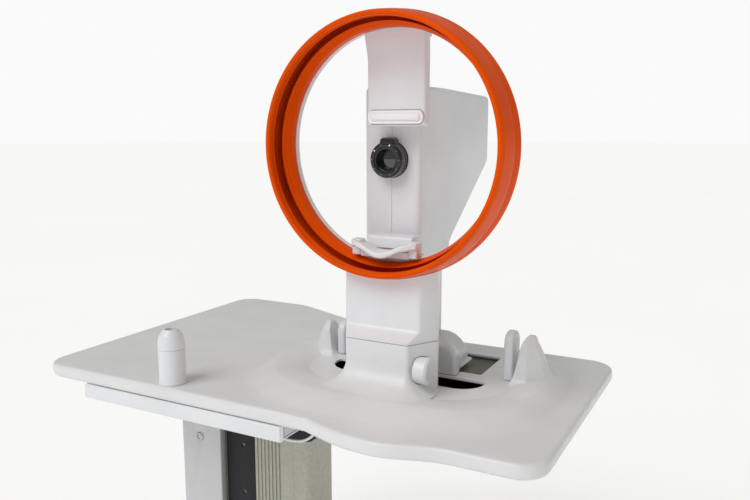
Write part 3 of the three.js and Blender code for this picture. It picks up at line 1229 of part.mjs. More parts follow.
const stageX = body();
add(stageX, 'x_screw', leadScrew('x', [-CAVITY_HALF + 3, X_SCREW_Y, RAIL_Z], 2 * CAVITY_HALF - 6),
  finish.steel);
add(stageX, 'x_carriage', xCarriage(), finish.aluminium);
add(stageX, 'dust_shield', dustShield(), finish.shield);
const stageY = body();
const yScrew = leadScrew('y', [HEAD_X, Y_RAIL_START - 1, Y_SCREW_Z], Y_RAIL_END - Y_RAIL_START + 2);
add(stageY, 'y_screw', joined(yScrew, ...screwCollars(0)), finish.steel);
add(stageY, 'y_carriage', yCarriage(), finish.aluminium);
add(stageY, 'stage_cover', stageCover(), finish.shell);
add(stageY, 'neck_cover', neckCover(), finish.shell);
const head = body();
add(head, 'z_screw', leadScrew('z', [HEAD_X, Z_POST_Y - 13, STAGE_BASE + 58], Z_POST_TOP - STAGE_BASE - 56),
  finish.steel);
add(head, 'head_shell_left', headShell(-1), finish.shell);
add(head, 'head_shell_right', headShell(1), finish.shell);
add(head, 'objective_barrel', objectiveBarrel(), finish.black);
add(head, 'front_lens', lens(HEAD_FRONT_Y - LENS_PROUD + 14, 19.6, 3, 2.5), finish.glass);
add(head, 'light_ring', lightRing(), finish.shell);
add(head, 'optical_bench', opticalBench(), finish.aluminium);
add(head, 'scanner_block', scannerBlock(), finish.frame);

// Set the finished group down with its base centre at the origin.
const bounds = new THREE.Box3().setFromObject(group);
const middle = bounds.getCenter(new THREE.Vector3());
group.position.set(-middle.x, -middle.y, -bounds.min.z);

export default group;
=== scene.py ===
"""Eye imager with a head ring on a lift table: the visual model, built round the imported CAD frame.

Forms are drawn in millimetres round the centre of the head ring's front lip (+Z up, the seated person at
-Y) and placed in the frame, in metres, when they become pieces.
"""

import logging
import math
from dataclasses import dataclass
from enum import Enum
from typing import Iterable, Sequence

import bmesh
import bpy
import numpy as np
from mathutils import Matrix, Vector


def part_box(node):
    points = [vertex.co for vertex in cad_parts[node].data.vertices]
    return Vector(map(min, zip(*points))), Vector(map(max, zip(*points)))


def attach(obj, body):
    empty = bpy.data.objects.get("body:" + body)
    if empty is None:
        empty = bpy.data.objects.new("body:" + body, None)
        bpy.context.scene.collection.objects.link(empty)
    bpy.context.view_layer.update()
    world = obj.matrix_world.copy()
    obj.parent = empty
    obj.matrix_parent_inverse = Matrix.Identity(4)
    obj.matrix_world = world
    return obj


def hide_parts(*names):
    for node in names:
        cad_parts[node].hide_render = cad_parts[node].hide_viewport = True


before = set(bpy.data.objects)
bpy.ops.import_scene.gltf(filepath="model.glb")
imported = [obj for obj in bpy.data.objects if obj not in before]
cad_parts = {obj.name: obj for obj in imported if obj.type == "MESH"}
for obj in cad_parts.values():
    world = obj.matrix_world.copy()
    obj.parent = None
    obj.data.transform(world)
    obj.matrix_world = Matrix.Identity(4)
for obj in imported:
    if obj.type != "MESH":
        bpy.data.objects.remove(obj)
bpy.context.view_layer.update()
LOG = logging.getLogger("eye_imager")

MM = 0.001
LIP_PROUD = 1.0  # the ring's front lip stands this far in front of the drawing's origin, mm
TAU = 2 * math.pi
SAME_POINT = 1e-4  # corners of a drawn form nearer than this are one, mm
SAME_CAD_POINT = 0.002  # and corners of a CAD solid
FLAT_ANGLE = 0.6  # faces of a CAD solid that bend less than this are one, degrees


def ring_centre() -> Vector:
    """The drawing's origin in the frame: the centre of the head ring's front lip."""
    low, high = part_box("head_ring")
    return Vector(((low.x + high.x) / 2, low.y + LIP_PROUD * MM, (low.z + high.z) / 2))


ORIGIN = ring_centre()


def from_frame(node: str) -> tuple[np.ndarray, np.ndarray]:
    """A CAD node's box in the drawing's millimetres.

    Args:
        node: Name of the CAD node.

    Returns:
        Its lowest and highest corners.
    """
    low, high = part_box(node)
    return np.array((low - ORIGIN) / MM), np.array((high - ORIGIN) / MM)


# ---------------------------------------------------------------- outlines
def rounded(corners: Sequence[tuple[float, float, float]], steps: int = 7) -> np.ndarray:
    """Points of a polygon whose corners are rounded by arcs.

    Args:
        corners: Corners as (u, v, radius).
        steps: Segments in each arc.

    Returns:
        An array of (u, v) points.
    """
    out: list[np.ndarray] = []
    count = len(corners)
    for i, (u, v, radius) in enumerate(corners):
        here = np.array((u, v), float)
        if radius <= 0:
            out.append(here)
            continue
        before = np.array(corners[i - 1][:2], float) - here
        after = np.array(corners[(i + 1) % count][:2], float) - here
        before /= np.linalg.norm(before)
        after /= np.linalg.norm(after)
        half = math.acos(float(np.clip(before @ after, -1, 1))) / 2
        middle = before + after
        centre = here + middle / np.linalg.norm(middle) * radius / math.sin(half)
        start = here + before * radius / math.tan(half) - centre
        end = here + after * radius / math.tan(half) - centre
        first = math.atan2(start[1], start[0])
        sweep = (math.atan2(end[1], end[0]) - first + math.pi) % TAU - math.pi
        for k in range(steps + 1):
            angle = first + sweep * k / steps
            out.append(centre + radius * np.array((math.cos(angle), math.sin(angle))))
    return np.array(out)


def rectangle(u0: float, v0: float, u1: float, v1: float, radius: float = 0.0, steps: int = 7) -> np.ndarray:
    """Points of a rectangle with rounded corners, counter-clockwise."""
    return rounded([(u0, v0, radius), (u1, v0, radius), (u1, v1, radius), (u0, v1, radius)], steps)


def circle(u: float, v: float, radius: float, count: int = 48) -> np.ndarray:
    """Points of a circle, counter-clockwise."""
    angle = np.arange(count) * TAU / count
    return np.stack((u + radius * np.cos(angle), v + radius * np.sin(angle)), 1)


def grown(outline: np.ndarray, amount: float | np.ndarray) -> np.ndarray:
    """A counter-clockwise outline moved outwards along its normals.

    Args:
        outline: The (u, v) points.
        amount: How far, for all points or for each; below zero moves inwards.

    Returns:
        The moved points.
    """
    ahead = np.roll(outline, -1, 0) - outline
    ahead /= np.maximum(np.linalg.norm(ahead, axis=1, keepdims=True), 1e-9)
    normal = np.stack((ahead[:, 1], -ahead[:, 0]), 1)
    both = normal + np.roll(normal, 1, 0)
    length = np.maximum(np.linalg.norm(both, axis=1, keepdims=True), 1e-6)
    both /= length
    stretch = 1 / np.clip((both * normal).sum(1), 0.5, 1)
    return outline + both * (np.broadcast_to(amount, len(outline)) * stretch)[:, None]


def ease(value: float | np.ndarray, start: float, end: float) -> float | np.ndarray:
    """A smooth step from 0 at start to 1 at end."""
    share = np.clip((np.asarray(value, float) - start) / (end - start), 0, 1)
    return share * share * (3 - 2 * share)


def rim(radius: float, steps: int) -> list[tuple[float, float]]:
    """Steps of a quarter round as (distance along, how far drawn in), from the drawn-in end."""
    return [(radius * (1 - math.cos(a)), radius * (1 - math.sin(a))) for a in np.linspace(0, math.pi / 2, steps)]


def softened(keys: np.ndarray, count: int, passes: int) -> np.ndarray:
    """Rows of a table spread to more rows and smoothed, with its ends kept.

    Args:
        keys: The table.
        count: How many rows it is spread to.
        passes: How often the rows between the ends are averaged with their neighbours.

    Returns:
        The new rows.
    """
    share = np.linspace(0, len(keys) - 1, count)
    rows = np.stack([np.interp(share, range(len(keys)), column) for column in keys.T], 1)
    for _ in range(passes):
        rows[1:-1] = (rows[:-2] + 2 * rows[1:-1] + rows[2:]) / 4
    return rows


def at_height(outline: np.ndarray, height: float | np.ndarray) -> np.ndarray:
    """A plan's points at a height."""
    return np.column_stack((outline, np.broadcast_to(height, len(outline))))


def at_depth(outline: np.ndarray, depth: float) -> np.ndarray:
    """A front view's points at a depth."""
    return np.insert(outline, 1, depth, axis=1)


# ---------------------------------------------------------------- forms
AXES: dict[str, tuple[int, int, int]] = {"x": (1, 2, 0), "y": (0, 2, 1), "z": (0, 1, 2)}


class Form:
    """A closed form in the drawing's millimetres, kept as a Blender mesh."""

    def __init__(self, points: np.ndarray, faces: Iterable[Sequence[int]]) -> None:
        """Makes the mesh, merges poles and turns its faces outwards.

        Args:
            points: The corners, one row each.
            faces: Corner numbers of each face.
        """
        self.mesh = bpy.data.meshes.new("form")
        self.mesh.from_pydata([tuple(map(float, p)) for p in points], [], [tuple(f) for f in faces])
        edit = bmesh.new()
        edit.from_mesh(self.mesh)
        bmesh.ops.remove_doubles(edit, verts=edit.verts, dist=SAME_POINT)
        bmesh.ops.dissolve_degenerate(edit, edges=edit.edges, dist=SAME_POINT)
        bmesh.ops.recalc_face_normals(edit, faces=edit.faces)
        edit.to_mesh(self.mesh)
        edit.free()

    @classmethod
    def of_mesh(cls, mesh: bpy.types.Mesh) -> "Form":
        """A form that takes over a finished mesh.

        Args:
            mesh: The mesh, in millimetres.

        Returns:
            The form.
        """
        form = cls.__new__(cls)
        form.mesh = mesh
        return form

    @classmethod
    def of_node(cls, node: str) -> "Form":
        """A merged copy of a CAD node's solid, in the drawing's millimetres.

        Args:
            node: Name of the CAD node.

        Returns:
            The form.
        """
        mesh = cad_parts[node].data.copy()
        mesh.materials.clear()
        mesh.transform(Matrix.Scale(1 / MM, 4) @ Matrix.Translation(-ORIGIN))
        edit = bmesh.new()
        edit.from_mesh(mesh)
        bmesh.ops.remove_doubles(edit, verts=edit.verts, dist=SAME_CAD_POINT)
        bmesh.ops.dissolve_limit(edit, angle_limit=math.radians(FLAT_ANGLE), verts=edit.verts, edges=edit.edges)
        edit.to_mesh(mesh)
        edit.free()
        return cls.of_mesh(mesh)

    @classmethod
    def loft(cls, sections: Sequence[np.ndarray]) -> "Form":
        """A closed form through sections that have the same number of (x, y, z) points.

        Args:
            sections: The sections in order, each going round the same way.

        Returns:
            The form.
        """
        count = len(sections[0])
        faces: list[Sequence[int]] = []
        for s in range(len(sections) - 1):
            for i in range(count):
                a, b = s * count + i, s * count + (i + 1) % count
                faces.append((a, b, b + count, a + count))
        last = (len(sections) - 1) * count
        faces.append(tuple(range(count))[::-1])
        faces.append(tuple(range(last, last + count)))
        return cls(np.concatenate(sections), faces)

    @classmethod
    def prism(
        cls, outline: np.ndarray, start: float, end: float, axis: str = "z", edge: float = 0.0, edge_end: float = -1.0
    ) -> "Form":
        """A prism over an outline, with rounded rims.

        Args:
            outline: Counter-clockwise points: (x, y) along z, (x, z) along y, (y, z) along x.
            start: Where it starts along the axis.
            end: Where it ends.
            axis: The axis it runs along.
            edge: Radius of the rim at the start.
            edge_end: Radius of the rim at the end, or below zero for the same.

        Returns:
            The form.
        """
        edge_end = edge if edge_end < 0 else edge_end
        levels = [(start + along, inset) for along, inset in rim(edge, 5 if edge > 0 else 1)]
        levels += [(end - along, inset) for along, inset in rim(edge_end, 5 if edge_end > 0 else 1)[::-1]]
        order = AXES[axis]
        sections = []
        for along, inset in levels:
            flat = grown(outline, -inset) if inset else outline
            points = np.zeros((len(flat), 3))
            points[:, order[0]], points[:, order[1]], points[:, order[2]] = flat[:, 0], flat[:, 1], along
            sections.append(points)
        return cls.loft(sections)

    @classmethod
    def block(cls, low: Sequence[float], high: Sequence[float], edge: float = 0.0) -> "Form":
        """A block between two corners, with its upright edges and rims rounded by edge."""
        return cls.prism(rectangle(low[0], low[1], high[0], high[1], edge, 3), low[2], high[2], "z", edge)

    @classmethod
    def turned(
        cls, profile: Sequence[tuple[float, float]] | np.ndarray, axis: str, centre: Sequence[float], segments: int = 96
    ) -> "Form":
        """A form turned about an axis.

        Args:
            profile: A closed profile as (radius, distance along the axis).
            axis: The axis it turns about.
            centre: A point on the axis, from which the distances are measured.
            segments: Steps round the axis.

        Returns:
            The form.
        """
        order = AXES[axis]
        profile = np.asarray(profile, float)
        count = len(profile)
        rings = []
        for k in range(segments):
            turn = TAU * k / segments
            points = np.zeros((count, 3))
            points[:, order[0]] = profile[:, 0] * math.cos(turn)
            points[:, order[1]] = profile[:, 0] * math.sin(turn)
            points[:, order[2]] = profile[:, 1]
            rings.append(points + np.array(centre, float))
        faces = []
        for k in range(segments):
            for i in range(count):
                j, n = (i + 1) % count, (k + 1) % segments
                if profile[i, 0] < 1e-9 and profile[j, 0] < 1e-9:
                    continue
                faces.append((k * count + i, k * count + j, n * count + j, n * count + i))
        return cls(np.concatenate(rings), faces)

    @classmethod
    def rod(cls, axis: str, centre: Sequence[float], radius: float, length: float, chamfer: float = 0.6) -> "Form":
        """A round bar along an axis with chamfered ends, starting at centre.

        Args:
            axis: The axis it runs along.
            centre: Centre of its first end.
            radius: Its radius.
            length: Its length.
            chamfer: Width of the chamfers.

        Returns:
            The form.
        """
        c = min(chamfer, radius * 0.4)
        return cls.turned(
            [(0, 0), (radius - c, 0), (radius, c), (radius, length - c), (radius - c, length), (0, length)],
            axis, centre, 32,
        )

    def _combine(self, others: Sequence["Form"], operation: str) -> "Form":
        """Joins, cuts or intersects this form with others, one after another.

        Args:
            others: The other forms.
            operation: UNION, DIFFERENCE or INTERSECT.

        Returns:
            The form.
        """
        for other in others:
            first = bpy.data.objects.new("first", self.mesh)
            second = bpy.data.objects.new("second", other.mesh)
            for item in (first, second):
                bpy.context.scene.collection.objects.link(item)
            change = first.modifiers.new("combine", "BOOLEAN")
            change.solver = "MANIFOLD"
            change.operation = operation
            change.object = second
            graph = bpy.context.evaluated_depsgraph_get()
            self.mesh = bpy.data.meshes.new_from_object(first.evaluated_get(graph))
            for item in (first, second):
                bpy.data.objects.remove(item)
        return self

    def joined(self, *others: "Form") -> "Form":
        """This form joined with others into one closed body."""
        return self._combine(others, "UNION")

    def cut(self, *others: "Form") -> "Form":
        """This form with others cut from it."""
        return self._combine(others, "DIFFERENCE")

    def within(self, *others: "Form") -> "Form":
        """What this form has in common with others."""
        return self._combine(others, "INTERSECT")

    def bevelled(self, width: float, angle: float = 32.0, segments: int = 2) -> "Form":
        """Rounds the form's hard edges.

        Args:
            width: Width of the rounding.
            angle: Edges sharper than this, in degrees, are rounded.
            segments: Steps across the rounding.

        Returns:
            This form.
        """
        item = bpy.data.objects.new("bevel", self.mesh)
        bpy.context.scene.collection.objects.link(item)
        change = item.modifiers.new("bevel", "BEVEL")
        change.width = width
        change.segments = segments
        change.limit_method = "ANGLE"
        change.angle_limit = math.radians(angle)
        change.use_clamp_overlap = True
        change.miter_outer = "MITER_ARC"
        graph = bpy.context.evaluated_depsgraph_get()
        self.mesh = bpy.data.meshes.new_from_object(item.evaluated_get(graph))
        bpy.data.objects.remove(item)
        return self


# ---------------------------------------------------------------- geometry nodes
class Tree:
    """A Geometry Nodes tree with named inputs that ends in real, dressed geometry."""

    def __init__(self, name: str, numbers: Sequence[str], counts: Sequence[str] = ()) -> None:
        """Makes the tree with its inputs and its geometry output.

        Args:
            name: The tree's name.
            numbers: Names of the inputs that are numbers.
            counts: Names of the inputs that are whole numbers.
        """
        self.group = bpy.data.node_groups.new(name, "GeometryNodeTree")
        inputs = {"Geometry": "Geometry", **dict.fromkeys(numbers, "Float"), **dict.fromkeys(counts, "Int"),
                  "Material": "Material"}
        self.group.interface.new_socket("Geometry", in_out="OUTPUT", socket_type="NodeSocketGeometry")
        for label, kind in inputs.items():
            self.group.interface.new_socket(label, in_out="INPUT", socket_type=f"NodeSocket{kind}")
        self.entry = self.group.nodes.new("NodeGroupInput").outputs

    def add(self, kind: str, inputs: dict[str | int, object], **settings: object) -> bpy.types.NodeSocket:
        """Adds a node.

        Args:
            kind: The node's type, where a geometry node's leaves out its leading "GeometryNode".
            inputs: A number or a socket for each input that it sets, or a list of sockets.
            **settings: Values of its properties.

        Returns:
            The node's first output.
        """
        whole = kind.startswith(("ShaderNode", "FunctionNode", "NodeGroup"))
        made = self.group.nodes.new(kind if whole else f"GeometryNode{kind}")
        for key, value in settings.items():
            setattr(made, key, value)
        for label, value in inputs.items():
            for entry in value if isinstance(value, list) else [value]:
                if isinstance(entry, bpy.types.NodeSocket):
                    self.group.links.new(entry, made.inputs[label])
                else:
                    made.inputs[label].default_value = entry
        return made.outputs[0] if made.outputs else None

    def math(self, operation: str, first: object, second: object) -> bpy.types.NodeSocket:
        """A sum of two sockets or numbers."""
        return self.add("ShaderNodeMath", {0: first, 1: second}, operation=operation)

    def raised(self, geometry: bpy.types.NodeSocket, height: bpy.types.NodeSocket) -> bpy.types.NodeSocket:
        """Geometry moved up by a height."""
        upwards = self.add("ShaderNodeCombineXYZ", {"Z": height})
        return self.add("Transform", {"Geometry": geometry, "Translation": upwards})

    def placed(self, item: bpy.types.NodeSocket) -> None:
        """Ends the tree with the item on each point, turned to the point's "facing" direction.

        Args:
            item: The geometry that stands on each point.
        """
        facing = self.add("InputNamedAttribute", {"Name": "facing"}, data_type="FLOAT_VECTOR")
        turn = self.add("FunctionNodeAlignRotationToVector", {"Vector": facing}, axis="Z")
        self.finish(self.add("InstanceOnPoints", {
            "Points": self.entry["Geometry"], "Instance": item, "Rotation": turn,
        }))

    def finish(self, geometry: bpy.types.NodeSocket) -> None:
        """Realizes the instances, dresses them with the Material input and ends the tree.

        Args:
            geometry: What the tree has made.
        """
        real = self.add("RealizeInstances", {"Geometry": geometry})
        dressed = self.add("SetMaterial", {"Geometry": real, "Material": self.entry["Material"]})
        self.add("NodeGroupOutput", {"Geometry": dressed})

    def run(self, mesh: bpy.types.Mesh, values: dict[str, object]) -> bpy.types.Mesh:
        """Runs the tree once on a mesh.

        Args:
            mesh: What goes into the Geometry input.
            values: A value for each other input, by name.

        Returns:
            The plain mesh that comes out.
        """
        item = bpy.data.objects.new("tree", mesh)
        change = item.modifiers.new("tree", "NODES")
        change.node_group = self.group
        for entry in self.group.interface.items_tree:
            if entry.item_type == "SOCKET" and entry.in_out == "INPUT" and entry.name in values:
                change[entry.identifier] = values[entry.name]
        bpy.context.scene.collection.objects.link(item)
        graph = bpy.context.evaluated_depsgraph_get()
        made = bpy.data.meshes.new_from_object(item.evaluated_get(graph))
        item.modifiers.remove(change)
        bpy.data.objects.remove(item)
        return made


def points_mesh(places: Sequence[Sequence[float]], facing: Sequence[Sequence[float]]) -> bpy.types.Mesh:
    """A mesh of loose points, each with the direction that what stands on it faces.

    Args:
        places: The points.
        facing: A direction for each.

    Returns:
        The mesh, with the directions in its attribute "facing".
    """
    mesh = bpy.data.meshes.new("points")
    mesh.from_pydata([tuple(map(float, p)) for p in places], [], [])
    attribute = mesh.attributes.new("facing", "FLOAT_VECTOR", "POINT")
    attribute.data.foreach_set("vector", np.array(facing, np.float32).ravel())
    return mesh


def screw_tree() -> Tree:
    """The tree for socket-head screws.

    Returns:
        A tree with the inputs Head radius, Head height and Socket radius.
    """
    tree = Tree("screws", ("Head radius", "Head height", "Socket radius"))
    radius, height = tree.entry["Head radius"], tree.entry["Head height"]
    head = tree.add("MeshCylinder", {"Vertices": 20, "Radius": radius, "Depth": height})
    top = tree.add("MeshCone", {
        "Vertices": 20, "Radius Bottom": radius, "Radius Top": tree.math("MULTIPLY", radius, 0.86),
        "Depth": tree.math("MULTIPLY", height, 0.22),
    })
    top = tree.raised(top, tree.math("MULTIPLY", height, 0.499))
    whole = tree.add("MeshBoolean", {"Mesh 2": [head, top]}, operation="UNION")
    key = tree.add("MeshCylinder", {"Vertices": 6, "Radius": tree.entry["Socket radius"], "Depth": height})
    key = tree.raised(key, tree.math("MULTIPLY", height, 0.75))
    tree.placed(tree.add("MeshBoolean", {"Mesh 1": whole, "Mesh 2": key}, operation="DIFFERENCE"))
    return tree


def dot_tree() -> Tree:
    """The tree for small round lights or studs.

    Returns:
        A tree with the inputs Dot radius and Dot height.
    """
    tree = Tree("dots", ("Dot radius", "Dot height"))
    radius = tree.entry["Dot radius"]
    dome = tree.add("MeshUVSphere", {"Segments": 14, "Rings": 8, "Radius": radius})
    flat = tree.math("DIVIDE", tree.entry["Dot height"], radius)
    scale = tree.add("ShaderNodeCombineXYZ", {"X": 1.0, "Y": 1.0, "Z": flat})
    tree.placed(tree.add("Transform", {"Geometry": dome, "Scale": scale}))
    return tree


def thread_tree() -> Tree:
    """The tree for a screw thread that winds up along +Z from the origin, round what goes in.

    Returns:
        A tree with the inputs Core radius, Length, Turns, Crest and Steps.
    """
    tree = Tree("thread", ("Core radius", "Length", "Turns", "Crest"), ("Steps",))
    entry = tree.entry
    spiral = tree.add("CurveSpiral", {
        "Start Radius": entry["Core radius"], "End Radius": entry["Core radius"], "Height": entry["Length"],
        "Rotations": entry["Turns"], "Resolution": entry["Steps"],
    })
    crest = tree.add("CurvePrimitiveCircle", {"Resolution": 5, "Radius": entry["Crest"]})
    swept = tree.add("CurveToMesh", {"Curve": spiral, "Profile Curve": crest, "Fill Caps": True})
    tree.finish(tree.add("JoinGeometry", {"Geometry": [entry["Geometry"], swept]}))
    return tree


# ---------------------------------------------------------------- finishes
Colour = tuple[float, float, float]


def linear(red: int, green: int, blue: int) -> Colour:
    """A screen colour of 0 to 255 a channel as linear light.

    Args:
        red: The red channel.
        green: The green channel.
        blue: The blue channel.

    Returns:
        The colour.
    """
    def one(value: int) -> float:
        """One channel in linear light."""
        share = value / 255
        return share / 12.92 if share <= 0.04045 else ((share + 0.055) / 1.055) ** 2.4
    return one(red), one(green), one(blue)


class Shader:
    """A material's node tree with short ways to add what the finishes share."""

    def __init__(self, name: str) -> None:
        """Makes a material with one Principled shader.

        Args:
            name: The material's name.
        """
        self.material = bpy.data.materials.new(name)
        self.material.use_nodes = True
        self.nodes = self.material.node_tree.nodes
        self.links = self.material.node_tree.links
        self.main = self.nodes["Principled BSDF"]
        self.place = self.nodes.new("ShaderNodeTexCoord").outputs["Object"]

    def noise(self, scale: float, detail: float = 3.0, stretch: Colour = (1, 1, 1)) -> bpy.types.NodeSocket:
        """Noise in the object's own space.

        Args:
            scale: Cells in a metre.
            detail: Octaves of detail.
            stretch: Scale along each axis.

        Returns:
            The noise's value.
        """
        mapping = self.nodes.new("ShaderNodeMapping")
        mapping.inputs["Scale"].default_value = stretch
        made = self.nodes.new("ShaderNodeTexNoise")
        made.inputs["Scale"].default_value = scale
        made.inputs["Detail"].default_value = detail
        self.links.new(self.place, mapping.inputs["Vector"])
        self.links.new(mapping.outputs[0], made.inputs["Vector"])
        return made.outputs["Fac"]

    def ranged(self, value: bpy.types.NodeSocket, low: float, high: float, out_low: float, out_high: float
               ) -> bpy.types.NodeSocket:
        """A value moved from one range to another.

        Args:
            value: The value.
            low: Start of its own range.
            high: End of its own range.
            out_low: What low becomes.
            out_high: What high becomes.

        Returns:
            The result's socket.
        """
        made = self.nodes.new("ShaderNodeMapRange")
        for label, number in zip(("From Min", "From Max", "To Min", "To Max"), (low, high, out_low, out_high)):
            made.inputs[label].default_value = number
        self.links.new(value, made.inputs["Value"])
        return made.outputs[0]

    def blend(self, share: bpy.types.NodeSocket, first: object, second: object) -> bpy.types.NodeSocket:
        """A mix of two colours.

        Args:
            share: 0 for the first and 1 for the second.
            first: A colour or a socket.
            second: A colour or a socket.

        Returns:
            The mixed colour.
        """
        made = self.nodes.new("ShaderNodeMix")
        made.data_type = "RGBA"
        self.links.new(share, made.inputs[0])
        for slot, value in ((made.inputs[6], first), (made.inputs[7], second)):
            if isinstance(value, bpy.types.NodeSocket):
                self.links.new(value, slot)
            else:
                slot.default_value = (*value, 1.0)
        return made.outputs[2]

    def spotted(
        self, pattern: bpy.types.NodeSocket, first: object, second: object, low: float = 0.3, high: float = 0.7,
        most: float = 1.0,
    ) -> bpy.types.NodeSocket:
        """A mix of two colours by a pattern.

        Args:
            pattern: The pattern's value.
            first: A colour or a socket, shown where the pattern is below low.
            second: A colour, shown where it is above high.
            low: Where the second colour starts to show.
            high: Where it shows most.
            most: How much of it shows there.

        Returns:
            The mixed colour.
        """
        return self.blend(self.ranged(pattern, low, high, 0, most), first, second)

    def mottled(self, pattern: bpy.types.NodeSocket, colour: Colour, tone: float) -> bpy.types.NodeSocket:
        """A colour that drifts by a share, darker and lighter, with a pattern."""
        dark, light = (tuple(min(1.0, c * share) for c in colour) for share in (1 - tone, 1 + tone))
        return self.spotted(pattern, dark, light, 0.35, 0.65)

    def rough(self, pattern: bpy.types.NodeSocket, value: float, low: float, high: float) -> None:
        """Sets a roughness that goes from low to high times its value with a pattern."""
        self.put("Roughness", self.ranged(pattern, 0.3, 0.7, value * low, value * high))

    def worn(self, colour: bpy.types.NodeSocket, edge: Colour, amount: float) -> bpy.types.NodeSocket:
        """A colour with its outer edges rubbed.

        Args:
            colour: The surface's colour.
            edge: The colour that shows on rubbed edges.
            amount: How strongly it shows.

        Returns:
            The colour with its edges.
        """
        point = self.nodes.new("ShaderNodeNewGeometry").outputs["Pointiness"]
        share = self.ranged(point, 0.52, 0.62, 0.0, amount)
        broken = self.nodes.new("ShaderNodeMath")
        broken.operation = "MULTIPLY"
        self.links.new(share, broken.inputs[0])
        self.links.new(self.ranged(self.noise(160, 2), 0.4, 0.6, 0.3, 1.0), broken.inputs[1])
        return self.blend(broken.outputs[0], colour, edge)

    def bump(self, height: bpy.types.NodeSocket, strength: float, distance: float) -> None:
        """Raises the surface by a height pattern, on top of what is there.

        Args:
            height: The height pattern.
            strength: How strongly it shows.
            distance: Height of the pattern in metres.
        """
        made = self.nodes.new("ShaderNodeBump")
        made.inputs["Strength"].default_value = strength
        made.inputs["Distance"].default_value = distance
        self.links.new(height, made.inputs["Height"])
        below = self.main.inputs["Normal"]
        if below.links:
            self.links.new(below.links[0].from_socket, made.inputs["Normal"])
        self.links.new(made.outputs[0], below)

    def put(self, label: str, value: object) -> None:
        """Sets or links one of the shader's sockets.

        Args:
            label: The socket's name.
            value: A number, a colour or a socket.
        """
        slot = self.main.inputs[label]
        if isinstance(value, bpy.types.NodeSocket):
            self.links.new(value, slot)
        elif isinstance(value, tuple):
            slot.default_value = (*value, 1.0)
        else:
            slot.default_value = value


@dataclass(frozen=True)
class Coating:
    """What all finishes share: a name, a colour and how their material is made."""

    name: str
    colour: Colour

    def build(self) -> None:
        """Makes the material."""
        self.dress(Shader(self.name))

    def dress(self, made: Shader) -> None:
        """Sets the colour, gloss and relief."""
        raise NotImplementedError


@dataclass(frozen=True)
class Moulding(Coating):
    """Moulded or cast plastic: faint mottling, fine pimpled grain and rubbed edges."""

    tone: float = 0.03
    roughness: float = 0.36
    grain: float = 1400.0
    grain_height: float = 0.12
    coat: float = 0.0
    edge_wear: float = 0.35
    shine: float = 0.5
    glint: Colour = (1.0, 1.0, 1.0)

    def dress(self, made: Shader) -> None:
        """Sets the colour, gloss and relief.

        Args:
            made: The material's shader.
        """
        rubbed = tuple(min(1.0, c * 1.12 + 0.02) for c in self.colour)
        base = made.mottled(made.noise(9, 4), self.colour, self.tone)
        made.put("Base Color", made.worn(base, rubbed, self.edge_wear))
        made.rough(made.noise(26, 5), self.roughness, 0.86, 1.18)
        made.put("Specular IOR Level", self.shine)
        made.put("Specular Tint", self.glint)
        made.put("Coat Weight", self.coat)
        made.put("Coat Roughness", 0.12)
        made.bump(made.noise(self.grain, 2), self.grain_height, 0.00012)
        made.bump(made.noise(45, 2), 0.05, 0.0008)


@dataclass(frozen=True)
class Paint(Coating):
    """Baked paint on steel: orange peel, faint colour drift and bare metal at worn edges."""

    tone: float = 0.05
    roughness: float = 0.42
    peel: float = 520.0
    metallic: float = 0.0

    def dress(self, made: Shader) -> None:
        """Sets the colour, gloss and relief.

        Args:
            made: The material's shader.
        """
        bare = tuple(c * 0.6 + 0.16 for c in self.colour)
        base = made.mottled(made.noise(7, 5), self.colour, self.tone)
        made.put("Base Color", made.worn(base, bare, 0.5))
        made.rough(made.noise(30, 4), self.roughness, 0.85, 1.2)
        made.put("Metallic", self.metallic)
        made.bump(made.noise(self.peel, 2), 0.25, 0.0002)


@dataclass(frozen=True)
class Metal(Coating):
    """Machined, drawn or anodised metal with streaks along one axis."""

    roughness: float = 0.34
    streak: Colour = (1.0, 1.0, 0.03)
    streak_scale: float = 900.0
    streak_height: float = 0.2
    metallic: float = 1.0

    def dress(self, made: Shader) -> None:
        """Sets the colour, gloss and relief.

        Args:
            made: The material's shader.
        """
        streaks = made.noise(self.streak_scale, 3, self.streak)
        dull = tuple(c * 0.8 for c in self.colour)
        base = made.spotted(streaks, dull, self.colour)
        stained = made.spotted(made.noise(14, 5), base, dull, 0.55, 0.8, 0.35)
        made.put("Base Color", made.worn(stained, tuple(min(1.0, c * 1.25) for c in self.colour), 0.5))
        made.put("Metallic", self.metallic)
        made.rough(streaks, self.roughness, 0.8, 1.25)
        made.bump(streaks, self.streak_height, 0.0001)


@dataclass(frozen=True)
class Rubber(Coating):
    """Grey rubber with a dusty, pitted surface."""

    roughness: float = 0.78

    def dress(self, made: Shader) -> None:
        """Sets the colour, gloss and relief.

        Args:
            made: The material's shader.
        """
        dusty = tuple(c * 1.8 + 0.02 for c in self.colour)
        made.put("Base Color", made.spotted(made.noise(60, 6), self.colour, dusty, 0.45, 0.75, 0.7))
        made.rough(made.noise(90, 3), self.roughness, 0.85, 1.1)
        made.bump(made.noise(900, 3), 0.4, 0.0003)


@dataclass(frozen=True)
class LensGlass(Coating):
    """Dark coated glass with faint sweep marks."""

    def dress(self, made: Shader) -> None:
        """Sets the colour, gloss and relief.

        Args:
            made: The material's shader.
        """
        tint = tuple(min(1.0, c * 2.2 + 0.004) for c in self.colour)
        made.put("Base Color", made.spotted(made.noise(22, 2), self.colour, tint, 0.4))
        made.put("Roughness", made.ranged(made.noise(240, 4), 0.3, 0.8, 0.02, 0.09))
        made.put("Specular IOR Level", 0.8)
        made.put("Coat Weight", 1.0)
        made.put("Coat Roughness", 0.02)
        made.bump(made.noise(70, 1), 0.02, 0.0004)


